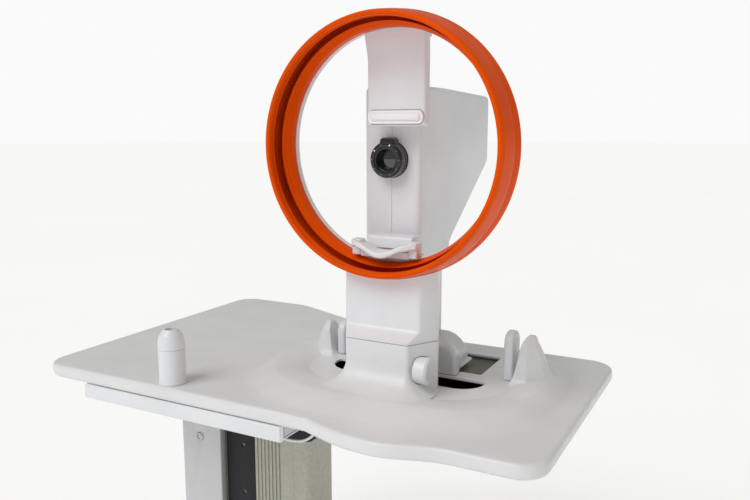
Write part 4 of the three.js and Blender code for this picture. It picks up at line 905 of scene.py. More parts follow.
@dataclass(frozen=True)
class Board(Coating):
    """Green circuit board with darker tracks under lacquer."""

    def dress(self, made: Shader) -> None:
        """Sets the colour, gloss and relief.

        Args:
            made: The material's shader.
        """
        tracks = made.nodes.new("ShaderNodeTexBrick")
        tracks.inputs["Scale"].default_value = 55
        tracks.inputs["Color1"].default_value = (*self.colour, 1)
        tracks.inputs["Color2"].default_value = (*(c * 0.55 for c in self.colour), 1)
        tracks.inputs["Mortar"].default_value = (*(min(1, c * 2.1) for c in self.colour), 1)
        turn = made.nodes.new("ShaderNodeMapping")
        turn.inputs["Rotation"].default_value = (0, math.pi / 2, 0)
        made.links.new(made.place, turn.inputs["Vector"])
        made.links.new(turn.outputs[0], tracks.inputs["Vector"])
        made.put("Base Color", tracks.outputs["Color"])
        made.put("Roughness", made.ranged(made.noise(50, 3), 0.3, 0.7, 0.3, 0.5))
        made.bump(tracks.outputs["Fac"], 0.3, 0.0002)


@dataclass(frozen=True)
class Lamp(Coating):
    """Small lit window: a pale diffuser that glows a little."""

    glow: float

    def dress(self, made: Shader) -> None:
        """Sets the colour, gloss and relief.

        Args:
            made: The material's shader.
        """
        made.put("Base Color", made.spotted(made.noise(900, 2), self.colour, tuple(c * 0.8 for c in self.colour)))
        made.put("Emission Color", self.colour)
        made.put("Emission Strength", self.glow)
        made.put("Roughness", made.ranged(made.noise(400, 2), 0.3, 0.7, 0.2, 0.35))


class Finish(Enum):
    """The finishes of the instrument and its table."""

    SHELL = Moulding("shell_plastic", linear(230, 232, 236), coat=0.15)
    TABLE = Moulding("tabletop_plastic", linear(227, 228, 229), tone=0.025, roughness=0.4, coat=0.15)
    ORANGE = Moulding("orange_plastic", linear(231, 80, 0), tone=0.05, roughness=0.34, grain_height=0.05, shine=0.14,
                      glint=(1.0, 0.42, 0.12))
    BLACK = Moulding("black_plastic", linear(22, 22, 24), tone=0.2, roughness=0.4, grain_height=0.3, edge_wear=0.6)
    GLOSS_BLACK = Moulding("barrel_black", linear(16, 16, 19), tone=0.25, roughness=0.22, grain_height=0.05, coat=0.4)
    PAD = Moulding("pad_foam_skin", linear(244, 244, 247), roughness=0.6, grain=900, grain_height=0.35)
    SHIELD = Paint("dust_shield_paint", linear(104, 104, 94), roughness=0.5)
    CABINET = Paint("cabinet_paint", linear(205, 205, 208), tone=0.03)
    # painted shade: a darker, warmer copy of the cabinet paint for the case and the rear panel, standing in for the
    # shade on the side that faces the lift column
    CABINET_SHADED = Paint("cabinet_shaded_paint", linear(122, 117, 108), tone=0.05)
    FRAME = Paint("frame_paint", linear(62, 63, 66), metallic=0.3)
    PROFILE = Metal("anodised_profile", linear(176, 176, 165), roughness=0.42, metallic=0.55)
    ALUMINIUM = Metal("milled_aluminium", linear(196, 197, 196), streak=(0.05, 1.0, 1.0), roughness=0.36)
    STEEL = Metal("ground_steel", linear(190, 190, 188), streak=(0.04, 1.0, 1.0), roughness=0.26)
    TURNED_STEEL = Metal("turned_steel", linear(186, 188, 190), streak=(1.0, 1.0, 1.0), roughness=0.3)
    RUBBER = Rubber("tread_rubber", linear(52, 52, 55))
    GLASS = LensGlass("coated_glass", linear(14, 18, 30))
    BOARD = Board("circuit_board", linear(30, 92, 52))
    LIGHT = Lamp("fixation_lamp", (0.9, 0.92, 0.95), 0.6)
    LIGHT_DIM = Lamp("fixation_lamp_dim", (0.35, 0.36, 0.38), 0.05)
    LEAD = Moulding("lead_jacket", linear(238, 238, 238), roughness=0.5)

    @property
    def material(self) -> bpy.types.Material:
        """The finish's material, made once.

        Returns:
            The material.
        """
        if self.value.name not in bpy.data.materials:
            self.value.build()
        return bpy.data.materials[self.value.name]


# ---------------------------------------------------------------- pieces
def piece(
    name: str, form: Form, finish: Finish, body: str, replaces: Sequence[str] = (), smooth: float = 34.0
) -> bpy.types.Object:
    """Turns a form into a finished piece of the model.

    Args:
        name: The piece's name.
        form: Its form in millimetres.
        finish: Its finish.
        body: The CAD body that it moves with.
        replaces: CAD nodes that it stands for.
        smooth: Edges below this angle, in degrees, shade smooth.

    Returns:
        The object, at the origin with its place in its mesh.
    """
    mesh = form.mesh
    mesh.name = name
    mesh.transform(Matrix.Translation(ORIGIN) @ Matrix.Scale(MM, 4))
    edit = bmesh.new()
    edit.from_mesh(mesh)
    for face in edit.faces:
        face.smooth = True
    for edge in edit.edges:
        edge.smooth = len(edge.link_faces) == 2 and edge.calc_face_angle(0) < math.radians(smooth)
    edit.to_mesh(mesh)
    edit.free()
    mesh.materials.clear()
    mesh.materials.append(finish.material)
    return place(bpy.data.objects.new(name, mesh), body, replaces)


def place(item: bpy.types.Object, body: str, replaces: Sequence[str] = ()) -> bpy.types.Object:
    """Links an object and makes it ride on its body.

    Args:
        item: The object.
        body: The CAD body that it moves with.
        replaces: CAD nodes that it stands for.

    Returns:
        The object.
    """
    bpy.context.scene.collection.objects.link(item)
    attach(item, body)
    if replaces:
        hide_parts(*replaces)
    LOG.info("%s on %s, %d faces", item.name, body, len(item.data.polygons))
    return item


def grown_piece(
    name: str, tree: Tree, mesh: bpy.types.Mesh, values: dict[str, object], finish: Finish, body: str,
    replaces: Sequence[str] = (),
) -> bpy.types.Object:
    """A finished piece from a geometry tree that is run on a mesh in millimetres.

    Args:
        name: The piece's name.
        tree: The geometry tree.
        mesh: What goes into it, in the drawing's millimetres.
        values: Its inputs by name.
        finish: The finish.
        body: The CAD body that it moves with.
        replaces: CAD nodes that it stands for.

    Returns:
        The object.
    """
    form = Form.of_mesh(tree.run(mesh, {**values, "Material": finish.material}))
    return piece(name, form, finish, body, replaces)


def refined(
    node: str, finish: Finish, body: str, edge: float = 0.6, segments: int = 2
) -> bpy.types.Object:
    """A CAD solid with its edges rounded, in place of the plain one.

    Args:
        node: The CAD node it stands for.
        finish: The finish.
        body: The CAD body it moves with.
        edge: Width of the rounding in millimetres.
        segments: Steps across the rounding.

    Returns:
        The object.
    """
    form = Form.of_node(node).bevelled(edge, segments=segments)
    return piece(f"{node}_finished", form, finish, body, (node,))


# ---------------------------------------------------------------- shared levels
@dataclass(frozen=True)
class Levels:
    """Heights and sizes that several sub-assemblies share, in millimetres from the ring's centre."""

    table_top: float = -425.0
    table_thick: float = 25.0
    bowl_floor: float = -415.0
    rim_raise: float = 10.0
    seam: float = -326.0
    knob: float = -371.0
    chin: float = -160.0
    lens: float = -24.0
    head_x: float = -28.0
    wall: float = 3.5

    @property
    def table_bottom(self) -> float:
        """Underside of the tabletop."""
        return self.table_top - self.table_thick


LEVELS = Levels()
COLUMN_SIDE = (90.0, 62.0)
COLUMN_REAR = (84.0, 80.0)


def column_plan(half: float, front: float, radius: float, inset: float) -> np.ndarray:
    """Plan of the column from its own front face to the sides and rear that it has at every height.

    Args:
        half: Half the width of its front face.
        front: Where its front face is.
        radius: Radius of the two front corners.
        inset: How far the plan is drawn in.

    Returns:
        The (x, y) points.
    """
    right = [(half - inset * 0.7, front + inset, radius), (COLUMN_SIDE[0] - inset * 1.2, COLUMN_SIDE[1], 5),
             (COLUMN_REAR[0] - inset, COLUMN_REAR[1] - inset, 4)]
    left = [(-x, y, r) for x, y, r in right[::-1]]
    return rounded([left[-1], *right, *left[:-1]], 6)


def lower_plan(inset: float = 0.0) -> np.ndarray:
    """Plan of the lower column, drawn in by an inset."""
    return column_plan(58.5, 6, 8, inset)


def upper_plan(inset: float = 0.0) -> np.ndarray:
    """Plan of the upper column, drawn in by an inset."""
    return column_plan(70, 29, 10, inset)


# ---------------------------------------------------------------- tabletop
@dataclass
class Tabletop:
    """Moulded tabletop: slab, mound with the bowl, horns and lower column, with its grips and post."""

    left: float = -675.0
    right: float = 328.0
    front: float = -126.0
    back: float = 400.0
    back_left: float = 525.0
    bulge: tuple[float, float, float] = (-62.0, 70.0, 195.0)
    bulge_depth: float = 32.0
    bulge_step: float = 5.0
    bowl_centre: float = 165.0
    bowl_power: float = 2.8
    top_edge: float = 7.0
    post: tuple[float, float] = (-362.0, -97.0)
    post_radius: float = 24.0
    post_height: float = 64.0
    seat: float = 0.8
    grip_wall: tuple[float, float] = (171.0, 188.5)
    grip_radius: float = 23.0
    horn_right: float = 84.0
    horn_left: float = 62.0
    horn_shift: float = 15.0
    flare: tuple[float, float] = (54.0, 44.0)

    def outline(self) -> np.ndarray:
        """The tabletop's outline with its bulge in front of the instrument.

        Returns:
            The points of the outline.
        """
        start, apex, end = self.bulge
        bulge = []
        for t in np.linspace(0, 1, 21)[1:]:
            out = self.bulge_depth * math.sin(math.pi / 2 * t)
            bulge.append((start + (apex - start) * t, self.front - out, 0))
        for t in np.linspace(0, 1, 21)[1:]:
            drop = (self.bulge_depth - self.bulge_step) * (1 - math.cos(math.pi * t)) / 2
            bulge.append((apex + (end - apex) * t, self.front - self.bulge_depth + drop, 0))
        return rounded([
            (self.left, self.front, 45), (start, self.front, 6), *bulge,
            (self.right, self.front - self.bulge_step, 46), (self.right, self.back, 50), (-180, self.back, 120),
            (-480, self.back_left, 120), (self.left, self.back_left, 45),
        ], 10)

    def slab(self) -> Form:
        """The flat board with a soft upper rim and a small lower one.

        Returns:
            The form.
        """
        outline = self.outline()
        levels = [(LEVELS.table_bottom, 5.0), (LEVELS.table_bottom + 1, 3.4), (LEVELS.table_bottom + 3, 1.6)]
        levels += [(LEVELS.table_bottom + 6, 0.4), (LEVELS.table_bottom + 9, 0.0)]
        levels += [(LEVELS.table_top - drop, inset) for drop, inset in rim(self.top_edge, 8)[::-1]]
        return Form.loft([at_height(grown(outline, -inset), z) for z, inset in levels])

    def bowl_curve(self, half: float, front: float, rear: float, base: float, lift: float) -> np.ndarray:
        """One closed curve of the mound or bowl: a superellipse with its own front and rear reach.

        Args:
            half: Half its width.
            front: Its reach ahead of the bowl's centre.
            rear: Its reach behind it.
            base: Its height at the rear.
            lift: Share of the rim's raise that it has at the front.

        Returns:
            The points of the outline.
        """
        angle = np.arange(200) * TAU / 200
        c, s = np.cos(angle), np.sin(angle)
        power = 2 / self.bowl_power
        x = half * np.sign(c) * np.abs(c) ** power
        y = self.bowl_centre + np.where(s < 0, front, rear) * np.sign(s) * np.abs(s) ** power
        fade = 1 - ease(y, self.bowl_centre + 45, self.bowl_centre + 130)
        return np.column_stack((x, y, base + lift * LEVELS.rim_raise * fade))

    def mound(self) -> Form:
        """The raised mound with its rim and the bowl inside.

        Returns:
            The form.
        """
        top, floor = LEVELS.table_top, LEVELS.bowl_floor
        outer = np.array([
            (302, 292, 229, top - 1.2, 0), (296, 284, 226, top + 0.2, 0), (288, 270, 220, top + 2.2, 0.0),
            (278, 255, 212, top + 4.8, 0.3), (268, 240, 205, top + 7.6, 0.6), (260, 228, 199, floor - 1.2, 0.84),
            (254, 219, 194, floor - 0.2, 0.97), (250, 213, 190, floor, 1.0), (244, 206, 186, floor, 0.985),
            (236, 196, 181, floor, 0.94), (227, 186, 176, floor, 0.85), (217, 175, 171, floor, 0.70),
            (208, 164, 166, floor, 0.48), (201, 156.5, 161, floor, 0.22), (197, 152, 158, floor, 0.0),
        ])
        curves = np.vstack((softened(outer, 70, 3), (196, 151, 157.4, floor - 0.25, 0),
                            (193, 148, 155, floor - 0.3, 0)))
        skirt = (*curves[0, :3], top - 8, curves[0, 4])
        return Form.loft([self.bowl_curve(*row) for row in (skirt, *curves)])

    def column(self) -> Form:
        """The lower column; its front flares softly onto the rim and its sides meet the bowl floor.

        Returns:
            The form.
        """
        plan = lower_plan()
        outward = grown(plan, 1.0) - plan
        ahead = 1 - ease(plan[:, 1], 2, 42)
        reach = 7 + (self.flare[0] - 7) * ahead
        rise = 7 + (self.flare[1] - 7) * ahead
        base = LEVELS.bowl_floor - 0.9 + (LEVELS.rim_raise + 0.6) * ahead
        direction = outward / np.maximum(np.hypot(*outward.T), 1e-6)[:, None]
        sections = [at_height(plan + direction * reach[:, None], base - 7)]
        for angle in np.linspace(0, math.pi / 2, 22):
            foot = plan + direction * (reach * (1 - math.sin(angle)))[:, None]
            sections.append(at_height(foot, base + rise * (1 - math.cos(angle))))
        top = LEVELS.seam
        for drop, inset in ((1.2, 0.0), (0.4, 0.35), (0.0, 1.2)):
            sections.append(at_height(grown(plan, -inset), top - drop))
        return Form.loft(sections)

    def horn(self, side: int) -> Form:
        """One horn beside the bowl.

        Args:
            side: +1 on the right and -1 on the left.

        Returns:
            The horn, flaring into the mound at its foot.
        """
        floor = LEVELS.bowl_floor
        height = self.horn_right if side > 0 else self.horn_left
        shift = 0.0 if side > 0 else self.horn_shift
        keys = np.array([
            (-0.17, 172, 292, 130, 254), (-0.06, 178, 278, 141, 242), (0.04, 186, 264, 150, 231),
            (0.12, 190.5, 254, 155, 223), (0.26, 194, 247, 157.5, 216), (0.50, 198, 241, 160.5, 210),
            (0.72, 201.5, 233, 163.5, 205), (0.83, 203.5, 228, 166, 202), (0.87, 204.5, 227, 169.5, 200.5),
            (0.93, 207, 225.5, 174.5, 198), (0.975, 209.5, 223.5, 179, 196), (1.0, 212, 221, 182, 193),
        ])
        keys[:, 0] = floor + keys[:, 0] * height
        sections = []
        for z, x0, x1, y0, y1 in softened(keys, 48, 2):
            w, d = x1 - x0, y1 - y0
            soft = min(w, d)
            plan = rounded([
                (x0 + 0.02 * w, y0, 0.05 * soft), (x0 + 0.42 * w, y0, 0.05 * soft),
                (x0 + 0.88 * w, y0 + 0.42 * d, 0.14 * soft), (x1, y0 + 0.7 * d, 0.12 * soft),
                (x1 - 0.1 * w, y1, 0.1 * soft), (x0 + 0.1 * w, y1, 0.1 * soft),
            ], 5)
            plan = plan if side > 0 else (plan * (-1, 1) + (shift, 0))[::-1]
            sections.append(at_height(plan, z))
        return Form.loft(sections)

    def openings(self) -> list[Form]:
        """What is cut from the moulding: column bore, stage space, slot, window, knob seat.

        Returns:
            The forms.
        """
        floor, bottom = LEVELS.bowl_floor, LEVELS.table_bottom
        slot = rounded([(-150, 142, 5), (-150, 88, 44), (150, 88, 44), (150, 142, 5)], 14)
        return [
            Form.prism(lower_plan(LEVELS.wall + 0.5), bottom - 1, LEVELS.seam + 1),
            Form.block((-215, 83, bottom - 1), (215, 308, floor - 4)),
            Form.prism(slot, floor - 20, floor + 5),
            Form.prism(rectangle(-127, 178, 127, 295, 4), floor - 20, floor + 5),
            Form.rod("x", (30, 30, LEVELS.knob), 6.5, 70, 0),
            Form.turned([(0, 0), (24.2, 0), (24.2, 60), (0, 60)], "x", (66, 30, LEVELS.knob), 72),
        ]

    def ears(self) -> list[Form]:
        """The two ears that hold the rocker's pin under the front edge.

        Returns:
            The forms.
        """
        bottom, x, y = LEVELS.table_bottom, 40.0, -92.0
        made = []
        for side in (-1, 1):
            near, far = x + side * 12 - 2.5, x + side * 12 + 2.5
            ear = Form.block((near, y - 14, bottom - 12), (far, y + 14, bottom + 4), 0.8)
            made.append(ear.cut(Form.rod("x", (x - 20, y, bottom - 7.5), 2.3, 40, 0)))
        return made

    def build_top(self) -> None:
        """The moulding in one closed piece."""
        seat = Form.rod("z", (*self.post, LEVELS.table_top - 1), self.post_radius + 2, 1 + self.seat, 0.4)
        body = self.slab().joined(self.mound(), self.column(), self.horn(1), self.horn(-1), seat, *self.ears())
        body = body.cut(*self.openings())
        piece("tabletop_moulding", body, Finish.TABLE, "table", ("tabletop",), 30)

    def build_grips(self) -> None:
        """The round-topped grip beside each horn."""
        low, r = LEVELS.bowl_floor + 0.6, self.grip_radius
        for side, name in ((-1, "left"), (1, "right")):
            shift = 0.0 if side > 0 else self.horn_shift
            near, far = (wall - shift for wall in self.grip_wall)
            top = LEVELS.bowl_floor + 4 + (self.horn_right if side > 0 else self.horn_left)
            face = rounded([
                (168, low, 3), (168 + 2 * r, low, 3), (168 + 2 * r, top, r - 0.5), (168, top, r - 0.5),
            ], 16)
            form = Form.prism(face, min(side * near, side * far), max(side * near, side * far), "x", 5.5)
            piece(f"grip_{name}", form, Finish.SHELL, "table", (f"hand_grip_{name}",))

    def build_post(self) -> None:
        """The accessory post with its domed cap and the hole for a pin."""
        z, r, high = LEVELS.table_top + self.seat + 0.3, self.post_radius, self.post_height
        post = rounded([
            (12, 0, 0.5), (r + 1, 0, 0.5), (r + 1, 4, 1), (r, 6, 3), (r, high, 0.8), (12, high, 0.5),
        ], 4)
        piece("post_tube", Form.turned(post, "z", (*self.post, z)), Finish.SHELL, "table",
              ("pole_socket",))
        seam = high + 0.3
        cap = np.concatenate(([(0.0, seam - 12)], rounded([
            (11.5, seam - 12, 0.5), (11.5, seam, 0), (r, seam, 0.8), (r, seam + 12, 12), (r - 3, seam + 24, 12),
            (r - 12, seam + 36, 2.5), (10, seam + 35, 1), (10, seam + 15, 0.5),
        ], 8), [(0.0, seam + 15)]))
        piece("post_cap", Form.turned(cap, "z", (*self.post, z)), Finish.SHELL, "table",
              ("socket_cap",))

    def build(self) -> None:
        """Builds the tabletop's pieces."""
        self.build_top()
        self.build_grips()
        self.build_post()


# ---------------------------------------------------------------- column and ring
@dataclass
class Column:
    """Upper column shell that cradles the ring, its steel post and the harness clip."""

    lip: float = 22.0
    tower_half: float = 46.0
    tower_rear: float = 104.0
    tower_top: float = -186.0
    top: float = -195.0

    @staticmethod
    def ring_envelope(clearance: float) -> Form:
        """A form round the head ring, larger than it by a clearance.

        Args:
            clearance: How much larger.

        Returns:
            The form.
        """
        lip, rear, depth = 215 + clearance, 224 + clearance, 81
        profile = [(0, -2), (lip, -2), (lip, 0), (lip + 2, 8), (lip + 6, 36), (rear, 67),
                   (rear, depth), (0, depth)]
        return Form.turned(profile, "y", (0, 0, 0), 160)

    def wall_sections(self, inset: float, bottom: float, top: float) -> list[np.ndarray]:
        """Sections of the column from its lower plan through the sloped foot to its upper plan.

        Args:
            inset: How far they are drawn in.
            bottom: Height of the first section.
            top: Height of the last one.

        Returns:
            The sections, from the bottom up.
        """
        lower, upper = lower_plan(inset), upper_plan(inset)
        start = LEVELS.seam + 0.8
        levels = [(bottom, 0.0)] if inset else [(bottom, 0.0), (start + 4.5, 0.0)]
        for share in np.linspace(0, 1, 12):
            rise = start + 5 + (self.lip - 3) * share
            levels.append((rise, float(1 - (1 - ease(share, -0.25, 1.0)) ** 1.15)))
        levels.append((top, 1.0))
        return [at_height(lower + (upper - lower) * s, z) for z, s in levels]

    def build(self) -> None:
        """Builds the shell, the post and the clip."""
        bottom = LEVELS.seam + 0.8
        sections = self.wall_sections(0, bottom, self.top)
        sections[0:0] = [at_height(grown(lower_plan(), -inset), bottom + up) for inset, up in ((1.2, 0), (0.4, 0.4))]
        sections[2] = at_height(lower_plan(), bottom + 1.2)
        main = Form.loft(sections)
        wall = LEVELS.wall
        hollow = Form.loft(self.wall_sections(wall, bottom - 1, self.top + 1)).cut(self.ring_envelope(wall + 1))
        half, rear = self.tower_half, self.tower_rear
        tower = Form.prism(rectangle(-half, COLUMN_REAR[1] - 12, half, rear, 5), bottom, self.tower_top, "z", 0, 1.5)
        shaft = Form.block((-half + wall, COLUMN_REAR[1] + 1.8, bottom + wall), (half - wall, rear - wall,
                                                                                self.tower_top + 1))
        door = Form.block((-half + wall, COLUMN_REAR[1] - 14, bottom + wall), (half - wall, COLUMN_REAR[1] + 3, -229))
        shell = main.joined(tower).cut(self.ring_envelope(1), hollow, shaft, door)
        piece("column_cover", shell, Finish.SHELL, "table", ("column_shell",), 30)
        refined("column_post", Finish.ALUMINIUM, "table", 0.8)
        low, high = from_frame("rear_clip")
        clip = Form.prism(rectangle(low[0], low[1], high[0], high[1], 3.8), low[2], high[2], "z", 1.6)
        groove = Form.block((low[0] + 4, high[1] - 2.2, low[2] + 8), (high[0] - 4, high[1] + 2, high[2] - 8), 1.0)
        piece("harness_clip", clip.cut(groove), Finish.BLACK, "table", ("rear_clip",))


@dataclass
class HeadRing:
    """Head ring, the white ring behind it, the forehead bridge and its pad."""

    depth: float = 67.0
    lip: float = 215.0
    rear: float = 224.0
    bore: float = 195.0
    grooves: int = 4
    groove_pitch: float = 5.6
    bridge_half: float = 55.0
    bridge_front: float = 78.0
    pad_low: float = 38.0
    pad_high: float = 61.0
    pad_round: float = 9.5

    def hoop_profile(self) -> np.ndarray:
        """Profile of the orange hoop: rolled lip, fine outer grooves and a stepped bore.

        Returns:
            The points of the outline.
        """
        outer: list[tuple[float, float, float]] = [
            (self.lip - 3, -1, 0.8), (self.lip, 0.6, 1.4), (self.lip + 2.2, 8, 6), (self.lip + 6, 34, 10),
        ]
        first = self.depth - 3 - self.grooves * self.groove_pitch
        for i in range(self.grooves):
            y = first + i * self.groove_pitch
            r = self.lip + (self.rear - self.lip) * y / self.depth + 1.1
            outer += [(r, y, 0.7), (r - 1.5, y + 1.0, 0.4), (r + 0.1, y + 2.2, 0.7)]
        bore, depth = self.bore, self.depth
        inner = [
            (self.rear, depth - 1, 0.8), (self.rear - 1, depth, 0.4), (bore + 1.2, depth, 0.6),
            (bore, depth - 3, 1.5), (bore, depth - 16, 5), (bore + 3, depth - 23, 3), (bore + 5.5, depth - 26, 1),
            (bore + 4.9, depth - 29, 0.8), (bore + 7.5, depth - 32, 1), (bore + 7.0, depth - 35, 0.8),
            (self.lip - 9.5, 18, 4), (self.lip - 8.5, 14, 1.5), (self.lip - 4.0, 11.5, 2), (self.lip - 4.5, 8.5, 2),
            (self.lip - 8.5, 5.5, 2.5), (self.lip - 7.5, -0.5, 2.5),
        ]
        return rounded(outer + inner, 4)

    def back_profile(self) -> np.ndarray:
        """Profile of the white ring behind the hoop.

        Returns:
            The points of the outline.
        """
        y0, y1 = self.depth + 0.3, self.depth + 13
        return rounded([
            (195.8, y0, 0.5), (221, y0, 0.6), (221, y1 - 4, 2), (216, y1, 2), (198, y1, 1.5), (195.8, y1 - 2, 1),
        ], 4)

    def bridge(self) -> Form:
        """The forehead bridge: a bowed panel with rounded edges and a seat for the pad.

        Returns:
            The form.
        """
        front_keys = ((34, 80.5), (36, 78.6), (40, 78), (140, 78), (152, 76.6), (165, 74), (178, 71),
                      (198, 68.6))
        rear_keys = ((34, 95), (37, 98), (60, 99), (120, 100), (150, 100), (180, 96), (206, 92))
        sections = []
        for z in np.concatenate((np.linspace(34, 40, 6), np.linspace(44, 196, 42))):
            front = float(np.interp(z, *zip(*front_keys)))
            rear = float(np.interp(z, *zip(*rear_keys)))
            half = self.bridge_half + 2.2 * float(ease(z, 140, 200))
            half -= 4.5 * (1 - math.sqrt(max(0.0, 1 - (1 - min(1.0, (z - 34) / 6)) ** 2)))
            sections.append(at_height(rounded([
                (-half, front, 5), (half, front, 5), (half, rear, 7), (-half, rear, 7),
            ], 6), z))
        lower = Form.loft(sections)
        upper = Form.prism(rounded([(-58, 80.4, 1), (58, 80.4, 1), (59, 97, 6), (-59, 97, 6)], 4), 180, 206, "z", 0, 3)
        outside = Form.prism(circle(0, 0, 300, 48), 40, 80.3, "y").cut(
            Form.prism(circle(0, 0, 195.2, 160), 39, 81, "y"))
        seat = Form.prism(grown(self.pad_outline(), 0.9), 60, self.bridge_front + 8, "y")
        return lower.joined(upper).cut(outside, seat)

    def pad_outline(self) -> np.ndarray:
        """The forehead pad's outline from the front."""
        half = self.bridge_half - 3
        return rectangle(-half, self.pad_low, half, self.pad_high, self.pad_round, 10)

    def pad(self) -> Form:
        """The forehead pad, crowned towards the forehead and drawn in round its rim.

        Returns:
            The form.
        """
        outline = self.pad_outline()
        centre = outline.mean(0)
        rear, front = self.bridge_front + 7.6, self.bridge_front - 4.2
        sections = []
        for y, inset in ((rear, 1.0), (rear - 0.8, 0.0), (front + 3.6, 0.0)):
            sections.append(at_depth(grown(outline, -inset), y))
        for share in np.linspace(0.08, 1, 10):
            inset = 8.5 * share
            y = front + 3.6 * (1 - math.sqrt(1 - (share * 1.6) ** 2)) if share < 0.62 else front
            y -= 2.6 * share * share
            flat = grown(outline, -inset * 0.98)
            sections.append(at_depth(flat, y))
        sections.append(at_depth(centre + (flat - centre) * (0.9, 0.4), y - 0.15))
        return Form.loft(sections)

    def build(self) -> None:
        """Builds the ring's pieces."""
        hoop = Form.turned(self.hoop_profile(), "y", (0, 0, 0), 256)
        piece("ring_hoop", hoop, Finish.ORANGE, "table", ("head_ring",), 50)
        back = Form.turned(self.back_profile(), "y", (0, 0, 0), 200)
        piece("ring_backing", back, Finish.SHELL, "table", ("back_ring",), 40)
        piece("bridge_panel", self.bridge(), Finish.SHELL, "table", ("forehead_bridge",))
        pad = piece("brow_pad", self.pad(), Finish.PAD, "table", ("forehead_pad",), 60)


# ---------------------------------------------------------------- chin rest
@dataclass
class ChinRest:
    """Chin cup on its carriage, with the knob that raises it."""

    half: float = 62.0
    rear: float = 56.4
    knob_radius: float = 23.0
    knob_centre: float = 30.0
    knob_end: float = 91.0
    pinion_radius: float = 10.0
    teeth: int = 20

    def cup(self) -> Form:
        """The chin cup: a saddle that dips in the middle, with a rolled front lip and a cheek at each end.

        Returns:
            The form.
        """
        x = np.linspace(-self.half, self.half, 49)
        side = np.abs(x)
        front = 13 + 17 * (side / self.half) ** 2.2
        dip = 13.5 * (1 - ease(side, 3, 47)) - 2.5 * ease(side, 46, 56)
        lip = [(5 * (1 - math.cos(a)), 5 * (1 - math.sin(a)), 0.0) for a in np.linspace(0.12, math.pi / 2, 7)]
        dish = [(5.0 + 2 * k, 0.0, 4.2 * float(ease(k, 0, 4))) for k in range(1, 6)]
        sections = []
        for back, inset, sink in [*lip, *dish, (60.0, 0.0, 4.2), (61.5, 0.6, 4.2), (62.2, 1.8, 4.2)]:
            reach = self.rear - (62.2 - back) if back > 50 else 0.0
            y = np.full(len(x), reach) if back > 50 else front + back
            width = (self.half - inset * 0.8) / self.half
            hollow = sink * (1 - ease(side, 40, 50))
            upper = LEVELS.chin - dip - hollow - inset
            lower = np.minimum(LEVELS.chin - dip - 11 + inset, upper - 1)
            top = np.column_stack((x * width, y, upper))
            under = np.column_stack((x * width, y, lower))
            sections.append(np.vstack((under, top[::-1])))
        body = Form.loft(sections)
        cheeks = []
        for way in (-1, 1):
            x0, x1 = sorted((way * 45, way * self.half))
            cheeks.append(Form.prism(rectangle(x0, 34, x1, self.rear - 0.2, 4), LEVELS.chin - 24, LEVELS.chin + 3, "z",
                                     2, 3.5))
        middle = Form.prism(rectangle(-46, 36, 46, self.rear - 0.4, 3), LEVELS.chin - 26, LEVELS.chin - 14, "z", 1.5)
        return body.joined(*cheeks, middle)

    def knob(self) -> Form:
        """The knob with its shaft and the pinion that meets the rack.

        Returns:
            The form.
        """
        r = self.knob_radius
        grip = np.concatenate(([(0.0, 0.0)], rounded([
            (r - 1, 0, 0.6), (r, 2, 1), (r, 21, 3), (r - 3.2, 25, 3), (r - 9, 25, 0.8), (r - 10, 24.2, 0.8),
        ], 6), [(0.0, 24.0)]))
        form = Form.turned(grip, "x", (self.knob_end - 25, self.knob_centre, LEVELS.knob), 120)
        shaft = Form.rod("x", (-8, self.knob_centre, LEVELS.knob), 5, self.knob_end - 12)
        wheel = []
        for i in range(self.teeth):
            middle = TAU * i / self.teeth
            for turn, extra in ((-0.075, 0), (-0.035, 1.9), (0.035, 1.9), (0.075, 0)):
                r_tooth = self.pinion_radius - 1.3 + extra
                wheel.append((self.knob_centre + r_tooth * math.cos(middle + turn),
                              LEVELS.knob + r_tooth * math.sin(middle + turn)))
        return form.joined(shaft, Form.prism(np.array(wheel), -5, 5, "x"))

    def build(self) -> None:
        """Builds the chin rest's pieces."""
        piece("chin_saddle", self.cup(), Finish.SHELL, "chin_rest", ("chin_cup",))
        refined("chin_carriage", Finish.SHELL, "chin_rest", 1.6, 3)
        piece("chin_knob_grip", self.knob(), Finish.SHELL, "chin_knob", ("chin_knob",))


